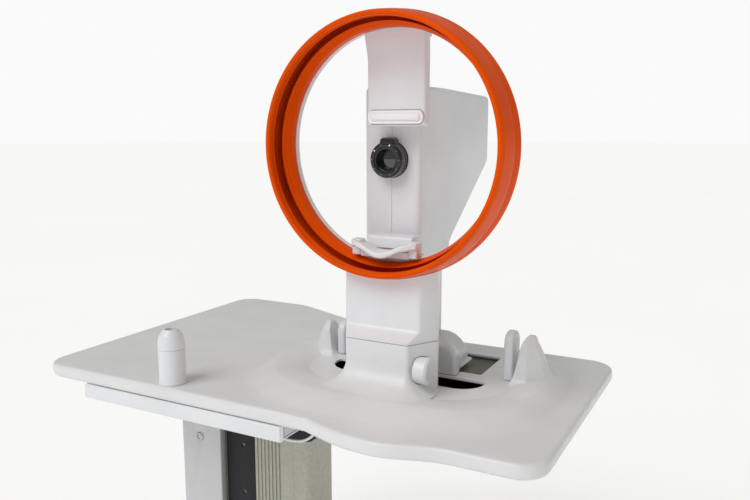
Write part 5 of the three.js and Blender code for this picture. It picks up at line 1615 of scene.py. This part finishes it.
# ---------------------------------------------------------------- stage
@dataclass
class Stage:
    """Rails, carriages and lead screws under and over the bowl floor, with the cover and the neck."""

    screw_radius: float = 4.0
    screw_ends: float = 8.0
    flange_half: float = 109.0
    cover_front: float = 150.0
    cover_rear: float = 260.0
    cover_height: float = 53.0
    cover_lift: float = 1.2
    neck_half: float = 49.0
    neck_front: float = 126.0
    neck_rear: float = 246.0
    neck_top: float = -150.0

    def screw(self, name: str, axis: str, lead: float, tree: Tree) -> None:
        """A lead screw with its thread.

        Args:
            name: The CAD node it stands for, which is also its body.
            axis: The axis it runs along.
            lead: Rise of the thread in one turn.
            tree: The thread's tree.
        """
        low, high = from_frame(name)
        along = "xyz".index(axis)
        start = (low + high) / 2
        start[along] = low[along]
        length, core_radius = float(high[along] - low[along]), self.screw_radius - 0.8
        thread = length - self.screw_ends
        mesh = tree.run(Form.rod("z", (0, 0, 0), core_radius, length).mesh, {
            "Core radius": core_radius, "Length": thread, "Turns": thread / lead, "Crest": 0.75, "Steps": 14,
            "Material": Finish.STEEL.material,
        })
        turn = {"x": Matrix.Rotation(math.pi / 2, 4, "Y"), "y": Matrix.Rotation(-math.pi / 2, 4, "X"),
                "z": Matrix.Identity(4)}[axis]
        mesh.transform(Matrix.Translation(Vector(start)) @ turn)
        piece(f"{name}_threaded", Form.of_mesh(mesh), Finish.STEEL, name, (name,))

    def collars(self) -> None:
        """The thrust collars at both ends of the Y screw, joined along its core."""
        x, z = LEVELS.head_x, LEVELS.bowl_floor + 12
        front, rear = 184.5, 237.6
        core = Form.rod("y", (x, front, z), self.screw_radius - 1, rear - front + 2.9)
        discs = [Form.rod("y", (x, start, z), 9.5, length, 0.5) for start, length in ((front, 5.1), (rear, 2.9))]
        piece("y_screw_collars", core.joined(*discs), Finish.STEEL, "y_screw")

    def hood(self, inset: float) -> Form:
        """The cover's outer form, or its inner one when drawn in by an inset.

        Args:
            inset: How far it is drawn in.

        Returns:
            The form.
        """
        x, floor = LEVELS.head_x, LEVELS.bowl_floor + self.cover_lift - (6 if inset else 0)
        front, rear, corner = self.cover_front + inset, self.cover_rear - inset, rim(7.0 - inset, 6)
        stops = [(front + along, edge) for along, edge in corner]
        stops += [(y, 0.0) for y in np.linspace(front + 10 - inset, rear - 10 + inset, 22)]
        stops += [(rear - along, edge) for along, edge in corner[::-1]]
        sections = []
        for y, edge in stops:
            half = float(np.interp(y, (150, 172, 205, 260), (116, 114, 105, 99))) - inset - edge
            radius = float(np.interp(y, (150, 166, 205, 260), (18, 22, 44, 48))) - inset
            top = LEVELS.bowl_floor + self.cover_height - inset - edge
            arch = rounded([(x - half, floor, 0), (x + half, floor, 0), (x + half - 2, top, radius),
                            (x - half + 2, top, radius)], 14)
            sections.append(at_depth(arch, y))
        return Form.loft(sections)

    def neck_plan(self, inset: float, radius: float) -> np.ndarray:
        """The neck's plan, drawn in by an inset, with rounded corners."""
        x, half = LEVELS.head_x, self.neck_half - inset
        return rectangle(x - half, self.neck_front + inset, x + half, self.neck_rear - inset, radius)

    def cover(self) -> Form:
        """The arched cover over the Y stage with a thin flange along its foot.

        Returns:
            The form.
        """
        x, floor = LEVELS.head_x, LEVELS.bowl_floor + self.cover_lift
        half = self.flange_half
        flange = Form.prism(rounded([
            (x - half, 178, 26), (x + half, 178, 26), (x + half, self.cover_rear, 8), (x - half, self.cover_rear, 8),
        ], 10), floor, floor + 3, "z", 0.4, 1.6)
        way = Form.prism(self.neck_plan(3, 6), LEVELS.bowl_floor + 40, LEVELS.bowl_floor + 60)
        return self.hood(0).joined(flange).cut(self.hood(3), way)

    def neck(self) -> Form:
        """The neck cover between the stage cover and the head.

        Returns:
            The form.
        """
        bottom = LEVELS.bowl_floor + self.cover_height + 0.3
        outer = Form.prism(self.neck_plan(0, 9), bottom, self.neck_top, "z", 1.2)
        return outer.cut(Form.prism(self.neck_plan(2.5, 6.5), bottom - 1, self.neck_top + 1))

    def build(self) -> None:
        """Builds the stage's pieces."""
        thread = thread_tree()
        for axis, lead in (("x", 10), ("y", 5), ("z", 5)):
            self.screw(f"{axis}_screw", axis, lead, thread)
        self.collars()
        for node in ("front_x_rail", "rear_x_rail"):
            low, high = from_frame(node)
            _, y, z = (low + high) / 2
            rail = Form.rod("x", (low[0], y, z), (high[2] - low[2]) / 2, high[0] - low[0])
            piece(f"{node}_ground", rail, Finish.STEEL, "table", (node,))
        for axis in "xy":
            refined(f"{axis}_carriage", Finish.ALUMINIUM, f"stage_{axis}", 0.5)
        refined("dust_shield", Finish.SHIELD, "stage_x", 0.4)
        piece("stage_hood", self.cover(), Finish.SHELL, "stage_y", ("stage_cover",), 36)
        piece("neck_sleeve", self.neck(), Finish.SHELL, "stage_y", ("neck_cover",))


# ---------------------------------------------------------------- optical head
@dataclass
class OpticalHead:
    """Two-part head shell with the objective, its lights, the bench and the scanner block."""

    front: float = 120.0
    rear: float = 425.0
    top: float = 104.0
    bottom: float = -205.0
    half: float = 55.0
    rear_half: float = 72.0
    crease: float = 235.0
    wall: float = 3.0
    lens_radius: float = 31.5
    proud: float = 25.0
    lights: int = 10
    light_circle: float = 26.6

    def section(self, y: float, inset: float, edge: float) -> np.ndarray:
        """The head's section across its depth.

        Args:
            y: Where the section is.
            inset: How far it is drawn in, for the inner wall.
            edge: How far it is drawn in at the rounded front and rear edges.

        Returns:
            The section's points.
        """
        x = LEVELS.head_x
        half = float(np.interp(y, (self.front, self.crease - 4, self.crease + 4, self.rear),
                               (self.half, self.half + 1, self.half + 1.8, self.rear_half)))
        top = self.top - 9 * float(np.clip((y - self.crease) / (self.rear - self.crease), 0, 1))
        keys_y = (self.front, 249, 253, 262, 392, 404, 412, 419, self.rear)
        keys_z = (self.bottom, self.bottom, -192, -181, -66, -56, -48.5, -39, -30)
        low = float(np.interp(y, keys_y, keys_z))
        low -= 5 if inset and y < 250 else 0
        draw = inset + edge
        low += draw if y > 250 else 0
        r = max(1.5, 10 - inset)
        flat = rounded([(x - half + draw, low, r), (x + half - draw, low, r), (x + half - draw, top - draw, r),
                        (x - half + draw, top - draw, r)], 7)
        return at_depth(flat, y)

    def form(self, inset: float) -> Form:
        """The head's closed outer or inner form.

        Args:
            inset: How far it is drawn in.

        Returns:
            The form.
        """
        front, rear = self.front + inset, self.rear - inset
        r = 9.0 - inset
        sections = [self.section(front + along, inset, edge) for along, edge in rim(r, 8)]
        keys = np.concatenate((np.linspace(front + r + 4, 248, 16), (249.5, 251, 253, 256, 262),
                               np.linspace(270, 390, 24), np.linspace(394, rear - r - 1, 6)))
        sections += [self.section(float(y), inset, 0.0) for y in keys]
        sections += [self.section(rear - along, inset, edge) for along, edge in rim(r, 8)[::-1]]
        return Form.loft(sections)

    def build_shells(self) -> None:
        """The left and right half shells, with the seam between them."""
        port = Form.turned([(0, -5), (self.lens_radius + 1, -5), (self.lens_radius + 1, 15), (0, 15)], "y",
                           (LEVELS.head_x, self.front, LEVELS.lens), 96)
        for side, name in ((-1, "left"), (1, "right")):
            x0, x1 = sorted((LEVELS.head_x + side * 0.35, LEVELS.head_x + side * 200))
            shell = self.form(0).cut(self.form(self.wall), port)
            lower = Form.block((LEVELS.head_x - 300, 0, -400), (LEVELS.head_x + 300, 600, self.bottom + 1.0))
            shell = shell.cut(lower).within(Form.block((x0, 0, -400), (x1, 600, 300)))
            piece(f"head_cover_{name}", shell, Finish.SHELL, "head", (f"head_shell_{name}",), 32)

    def build_objective(self) -> None:
        """The barrel with its lobe, the lens and the ring of lights."""
        x, z, front = LEVELS.head_x, LEVELS.lens, self.front - self.proud
        r = self.lens_radius
        profile = rounded([
            (19.3, 0.5, 0.4), (22, 0.2, 0.4), (22.3, 1.0, 0.2), (28.6, 0.8, 0.3), (r - 2.6, 0, 0.4), (r, 2.6, 1.6),
            (r, 13, 0.3), (r - 0.8, 13.6, 0.2), (r - 0.8, 15.0, 0.2), (r, 15.6, 0.3), (r, self.proud + 8, 0.4),
            (24, self.proud + 8, 0.4), (24, 88, 0.6), (20.2, 88, 0.4), (20.2, 14, 0.2), (17.6, 12.5, 0.3),
            (17.6, 8, 0.2), (18.6, 6.6, 0.2), (18.6, 3.2, 0.2),
        ], 4)
        lobe = Form.prism(rounded([
            (x - 16, z + 20, 0), (x + 16, z + 20, 0), (x + 12.5, z + r + 7.4, 8), (x - 12.5, z + r + 7.4, 8),
        ], 8), front + 3.5, self.front - 1, "y", 2.4, 0.5)
        lobe = lobe.cut(Form.turned([(0, -5), (20.7, -5), (20.7, 60), (0, 60)], "y", (x, front, z), 96))
        barrel = Form.turned(profile, "y", (x, front, z), 128).joined(lobe)
        piece("objective_housing", barrel, Finish.GLOSS_BLACK, "head", ("objective_barrel",))
        low, high = from_frame("front_lens")
        thick, radius = 3.0, 19.4
        curve = [(radius * s, -2.5 * (1 - s * s)) for s in np.linspace(0, 1, 12)]
        back = [(radius * s, thick + 2.3 * (1 - s * s)) for s in np.linspace(1, 0, 12)]
        middle = (low + high) / 2
        glass = Form.turned(curve + back, "y", (middle[0], low[1] + 2.5, middle[2]), 96)
        piece("front_element", glass, Finish.GLASS, "head", ("front_lens",))
        strip = rounded([(22.4, -1.2, 0.3), (29.0, -1.2, 0.3), (29.0, -0.3, 0.1), (22.4, -0.3, 0.1)], 3)
        band = Form.turned(strip, "y", (x, front, z), 96)
        piece("light_band", band, Finish.GLOSS_BLACK, "head", ("light_ring",))

    def build_lights(self, tree: Tree) -> None:
        """The fixation lights round the lens, two of them lit.

        Args:
            tree: The tree for small lights.
        """
        x, z, y = LEVELS.head_x, LEVELS.lens, self.front - self.proud - 1.2
        turns = [math.radians(90 + 360 / self.lights * (i + 0.5)) for i in range(self.lights)]
        spots = [(x + self.light_circle * math.cos(t), y, z + self.light_circle * math.sin(t)) for t in turns]
        lit = [spots[1], spots[-1]]
        dim = [s for s in spots if s not in lit]
        away = (0.0, -1.0, 0.0)
        for name, places, finish, size in (
            ("lights_dim", dim, Finish.LIGHT_DIM, 0.9), ("lights_lit", lit, Finish.LIGHT, 1.25),
        ):
            mesh = points_mesh(places, [away] * len(places))
            grown_piece(name, tree, mesh, {"Dot radius": size, "Dot height": 0.5}, finish, "head")

    def build(self, dots: Tree) -> None:
        """Builds the head's pieces.

        Args:
            dots: The tree for small lights.
        """
        self.build_shells()
        self.build_objective()
        self.build_lights(dots)
        refined("optical_bench", Finish.ALUMINIUM, "head", 0.5)
        refined("scanner_block", Finish.FRAME, "head", 1.2)


# ---------------------------------------------------------------- lift, cabinet and tray
@dataclass
class Lift:
    """Underframe, drive and telescopic profiles of the lift, with the lead under the tabletop."""

    centre: tuple[float, float] = (-267.0, 145.0)
    width: float = 134.0
    depth: float = 90.0
    flutes: int = 7
    flute_pitch: float = 9.0
    lead_radius: float = 2.6

    def outline(self) -> np.ndarray:
        """Outline of the upper profile: fluted on the left of its front, smooth on the right.

        Returns:
            The points of the outline.
        """
        x, y = self.centre
        front, rear = y - self.depth / 2, y + self.depth / 2
        left, right = x - self.width / 2, x + self.width / 2
        flutes: list[tuple[float, float, float]] = []
        for i in range(self.flutes):
            at = left + 7 + i * self.flute_pitch
            flutes += [(at, front, 0.5), (at + 0.9, front + 2.6, 0.7), (at + 3.6, front + 2.6, 0.7),
                       (at + 4.5, front, 0.5)]
        return rounded([(left, front, 3), *flutes, (right - 38, front, 2), (right - 37.2, front + 0.8, 0.3),
                        (right - 36.4, front, 2), (right, front, 16), (right, rear, 6), (left, rear, 6)], 4)

    def lead(self) -> None:
        """The pale lead between the drive and the underframe, on the CAD lead's route."""
        top = float(from_frame("lift_drive")[1][2])
        y = self.centre[1] - self.depth / 2 - 24
        route = [(-330, y + 6, top - 30), (-300, y + 2, top - 66), (-262, y, top - 92), (-220, y, top - 98),
                 (-184, y + 2, top - 86), (-160, y + 6, top - 50), (-152, y + 8, top - 6)]
        curve = bpy.data.curves.new("lead_route", "CURVE")
        curve.dimensions = "3D"
        curve.bevel_depth = self.lead_radius
        curve.bevel_resolution = 4
        curve.use_fill_caps = True
        curve.resolution_u = 16
        spline = curve.splines.new("BEZIER")
        spline.bezier_points.add(len(route) - 1)
        for point, spot in zip(spline.bezier_points, route):
            point.co = spot
            point.handle_left_type = point.handle_right_type = "AUTO"
        item = bpy.data.objects.new("lead_route", curve)
        bpy.context.scene.collection.objects.link(item)
        graph = bpy.context.evaluated_depsgraph_get()
        form = Form.of_mesh(bpy.data.meshes.new_from_object(item.evaluated_get(graph)))
        bpy.data.objects.remove(item)
        piece("under_lead", form, Finish.LEAD, "table", ("table_lead",), 60)

    def build(self) -> None:
        """Builds the lift's pieces."""
        x, y = self.centre
        low, high = from_frame("lift_upper_profile")
        bore = rectangle(x - 57, y - 35, x + 57, y + 35, 5)
        upper = Form.prism(self.outline(), float(low[2]), float(high[2])).cut(
            Form.prism(bore, float(low[2]) - 1, float(high[2]) + 1))
        piece("outer_profile", upper, Finish.PROFILE, "table", ("lift_upper_profile",))
        refined("lift_lower_profile", Finish.PROFILE, "base", 0.8)
        refined("lift_drive", Finish.BLACK, "table", 2.0, 3)
        refined("actuator_rod", Finish.TURNED_STEEL, "base", 0.8)
        refined("underframe", Finish.FRAME, "table", 0.8)
        self.lead()


@dataclass
class Cabinet:
    """Electronics cabinet with its light front, a darker, warmer copy of the front's paint on its sides, top and rear
    panel as painted shade, slotted rear panel and power button.
    """

    front_depth: float = 16.0

    def bracket(self, start: float, bottom: float, top: float) -> None:
        """The black bracket that ties the cabinet to the lift, with its slotted flanges; its black, set back between
        the two, is painted shade for the gap there.

        Args:
            start: The cabinet's right side.
            bottom: The cabinet's lower end.
            top: The cabinet's upper end.
        """
        x, y = Lift.centre
        end = x - Lift.width / 2 - 0.5
        web = Form.block((start + 0.5, y - 24, bottom + 30), (end, y - 20, top - 6), 0.6)
        ribs = [Form.block((start + 0.5, y - 24, z), (end, y + 20, z + 4), 0.6)
                for z in np.linspace(bottom + 30, top - 10, 5)]
        holes = [Form.rod("y", ((start + end) / 2, y - 40, z), 5, 40)
                 for z in np.linspace(bottom + 60, top - 50, 4)]
        # painted shade: the black web and ribs darken the gap between the cabinet and the lift column
        piece("cabinet_bracket_gap_shade", web.joined(*ribs).cut(*holes), Finish.BLACK, "table")

    def rear_panel(self) -> None:
        """The rear panel with its ten cooling slots."""
        low, high = from_frame("cabinet_rear_panel")
        x, bottom = (low[0] + high[0]) / 2, low[2] - 1 + 60
        slots = [Form.block((x - 36, low[1] - 2, bottom + k * 12), (x + 36, high[1] + 2, bottom + k * 12 + 5))
                 for k in range(10)]
        # painted shade: the rear panel takes the darker copy of the cabinet paint
        piece("cabinet_rear_panel_finished", Form.block(low, high).cut(*slots), Finish.CABINET_SHADED, "table",
              ("cabinet_rear_panel",))

    def build(self, screws: Tree) -> None:
        """Builds the cabinet's pieces.

        Args:
            screws: The tree for its screws.
        """
        low, high = from_frame("cabinet_shell")
        split = float(low[1]) + self.front_depth
        start, end = low - 5, high + 5
        ahead = Form.block(start, (end[0], split - 0.4, end[2]))
        behind = Form.block((start[0], split + 0.4, start[2]), end)
        cover = Form.of_node("cabinet_shell").within(ahead).bevelled(0.8)
        case = Form.of_node("cabinet_shell").within(behind).bevelled(0.6)
        piece("cabinet_front", cover, Finish.CABINET, "table")
        # painted shade: the case behind the front cover takes the darker copy of the cabinet paint
        piece("cabinet_case", case, Finish.CABINET_SHADED, "table", ("cabinet_shell",))
        self.rear_panel()
        refined("computer_unit", Finish.BOARD, "table", 0.5)
        button_low, button_high = from_frame("power_button")
        centre = (button_low + button_high) / 2
        cap = np.concatenate(([(0.0, -3.0)], rounded([
            (4.5, -3, 0.4), (5.0, -2.6, 0.3), (5.5, -3, 0.4), (7.2, -3, 0.8), (9, -1.5, 1.2), (9, 6, 0.4), (12, 6, 0.4),
            (12, 8, 0.4),
        ], 4), [(0.0, 8.0)]))
        button = Form.turned(cap, "y", (centre[0], button_low[1] + 3, centre[2]), 64)
        piece("power_key", button, Finish.CABINET, "power_button", ("power_button",))
        self.bracket(float(high[0]), float(low[2]), float(high[2]))
        rear = float(from_frame("cabinet_rear_panel")[1][1])
        rows = np.linspace(low[2] + 12, high[2] - 12, 5)
        places = [(x, rear + 0.6, z) for x in (low[0] + 8, high[0] - 8) for z in rows]
        grown_piece("cabinet_screws", screws, points_mesh(places, [(0, 1, 0)] * len(places)),
                    {"Head radius": 3.0, "Head height": 1.8, "Socket radius": 1.4}, Finish.TURNED_STEEL, "table")


@dataclass
class Tray:
    """Pull-out keyboard tray on its rails, and the rocker that drives the lift."""

    def build(self, screws: Tree) -> None:
        """Builds the tray's pieces.

        Args:
            screws: The tree for the underframe's screws.
        """
        refined("keyboard_tray", Finish.SHELL, "keyboard_tray", 0.9, 3)
        for side in ("left", "right"):
            refined(f"tray_rail_{side}", Finish.TURNED_STEEL, "table", 0.3)
        refined("lift_rocker", Finish.BLACK, "lift_rocker", 0.8, 3)
        bottom = from_frame("underframe")[0][2]
        places = [(x, y, bottom) for x in (-588, -390, -150, 60, 280) for y in (118, 172, 318)]
        grown_piece("frame_screws", screws, points_mesh(places, [(0, 0, -1)] * len(places)),
                    {"Head radius": 5.0, "Head height": 3.2, "Socket radius": 2.5}, Finish.TURNED_STEEL, "table")


# ---------------------------------------------------------------- base
@dataclass
class Base:
    """Base frame on four braked swivel castors."""

    wheel_radius: float = 37.5
    wheel_width: float = 24.0
    tread_grooves: int = 3

    def wheel_profile(self) -> np.ndarray:
        """Profile of a castor wheel: hub, web and a grooved tread.

        Returns:
            The points of the outline.
        """
        half, r = self.wheel_width / 2, self.wheel_radius
        tread: list[tuple[float, float, float]] = [(r - 4, -half + 1, 1.5), (r, -half + 5, 2.5)]
        for i in range(self.tread_grooves):
            y = -3.6 + i * 3.6
            tread += [(r, y - 0.7, 0.2), (r - 0.9, y, 0.2), (r, y + 0.7, 0.2)]
        tread += [(r, half - 5, 2.5), (r - 4, half - 1, 1.5)]
        return rounded([
            (4.4, -half, 0.4), (12, -half, 1), (14, -half + 3, 1), (28, -half + 3, 1.2), *tread, (28, half - 3, 1.2),
            (14, half - 3, 1), (12, half, 1), (4.4, half, 0.4),
        ], 4)

    def build(self, screws: Tree) -> None:
        """Builds the base and its castors.

        Args:
            screws: The tree for its screws.
        """
        refined("base_frame", Finish.FRAME, "base", 2.2, 3)
        top = from_frame("base_frame")[1][2]
        x, y = Lift.centre
        places = [(x + a, y + b, top + 1.2) for a in (-80, -62, 62, 80) for b in (-50, 50)]
        grown_piece("base_screws", screws, points_mesh(places, [(0, 0, 1)] * len(places)),
                    {"Head radius": 6.0, "Head height": 4.0, "Socket radius": 3.0}, Finish.TURNED_STEEL, "base")
        for spot in ("front_left", "front_right", "rear_left", "rear_right"):
            refined(f"castor_fork_{spot}", Finish.TURNED_STEEL, f"castor_{spot}", 0.7)
            refined(f"castor_brake_{spot}", Finish.BLACK, f"brake_{spot}", 0.8)
            node = f"castor_wheel_{spot}"
            wheel_low, wheel_high = from_frame(node)
            centre = (wheel_low + wheel_high) / 2
            wheel = Form.turned(self.wheel_profile(), "x", tuple(centre), 72)
            piece(f"{node}_tyre", wheel, Finish.RUBBER, f"wheel_{spot}", (node,))


# ---------------------------------------------------------------- studio
@dataclass
class Studio:
    """Pale floor, soft lights and the camera."""

    lens: float = 36.0
    azimuth: float = 28.0
    pitch: float = 9.31
    eye: tuple[float, float, float] = (0.7480, -1.2606, 1.2178)
    backdrop: float = 0.955
    fill: float = 0.4
    key: float = 1.5
    floor_glow: float = 0.35

    def camera(self) -> None:
        """The camera at the working view of the instrument."""
        data = bpy.data.cameras.new("view")
        data.lens = self.lens
        data.sensor_width = 36.0
        data.clip_end = 200
        item = bpy.data.objects.new("view", data)
        bpy.context.scene.collection.objects.link(item)
        turn, down = math.radians(self.azimuth), math.radians(self.pitch)
        ahead = Vector((-math.sin(turn) * math.cos(down), math.cos(turn) * math.cos(down), -math.sin(down)))
        item.location = self.eye
        item.rotation_mode = "QUATERNION"
        item.rotation_quaternion = ahead.to_track_quat("-Z", "Y")
        bpy.context.scene.camera = item

    def floor(self) -> None:
        """The pale floor."""
        mesh = bpy.data.meshes.new("floor")
        edit = bmesh.new()
        bmesh.ops.create_circle(edit, cap_ends=True, segments=64, radius=60)
        edit.to_mesh(mesh)
        edit.free()
        item = bpy.data.objects.new("floor", mesh)
        bpy.context.scene.collection.objects.link(item)
        made = Shader("floor_paint")
        made.put("Base Color", made.spotted(made.noise(0.6, 3), (0.80, 0.80, 0.80), (0.82, 0.82, 0.82)))
        made.put("Roughness", 0.9)
        made.put("Emission Color", (1.0, 1.0, 1.0))
        made.put("Emission Strength", self.floor_glow)
        mesh.materials.append(made.material)

    def surround(self) -> None:
        """A white surround that lights the instrument less than it shows."""
        world = bpy.data.worlds.new("studio")
        world.use_nodes = True
        nodes, links = world.node_tree.nodes, world.node_tree.links
        seen = nodes.new("ShaderNodeBackground")
        seen.inputs["Color"].default_value = (self.backdrop, self.backdrop, self.backdrop, 1)
        fill = nodes["Background"]
        fill.inputs["Color"].default_value = (0.97, 0.95, 0.88, 1)
        fill.inputs["Strength"].default_value = self.fill
        path, mix = nodes.new("ShaderNodeLightPath"), nodes.new("ShaderNodeMixShader")
        links.new(path.outputs["Is Camera Ray"], mix.inputs["Fac"])
        links.new(fill.outputs[0], mix.inputs[1])
        links.new(seen.outputs[0], mix.inputs[2])
        links.new(mix.outputs[0], nodes["World Output"].inputs["Surface"])
        bpy.context.scene.world = world

    def sun(self, name: str, toward: Sequence[float], spread: float, strength: float) -> None:
        """A soft distant lamp.

        Args:
            name: Its name.
            toward: Direction from the instrument to the lamp.
            spread: How wide it looks, in degrees.
            strength: Its strength.
        """
        data = bpy.data.lights.new(name, "SUN")
        data.energy, data.angle, data.color = strength, math.radians(spread), (0.96, 0.98, 1.0)
        item = bpy.data.objects.new(name, data)
        item.rotation_mode = "QUATERNION"
        item.rotation_quaternion = (-Vector(toward)).to_track_quat("-Z", "Y")
        bpy.context.scene.collection.objects.link(item)

    def build(self) -> None:
        """Builds the floor, the world, the lights and the camera."""
        self.camera()
        self.floor()
        self.surround()
        bpy.context.scene.view_settings.view_transform = "Standard"
        self.sun("key", (-0.25, -0.62, 0.75), 40, self.key)


def main() -> None:
    """Builds the instrument round the frame."""
    logging.basicConfig(level=logging.INFO, format="%(name)s: %(message)s")
    Studio().build()
    screws, dots = screw_tree(), dot_tree()
    Tabletop().build()
    Column().build()
    HeadRing().build()
    ChinRest().build()
    Stage().build()
    OpticalHead().build(dots)
    Lift().build()
    Cabinet().build(screws)
    Tray().build(screws)
    Base().build(screws)
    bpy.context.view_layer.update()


if __name__ == "__main__":
    main()
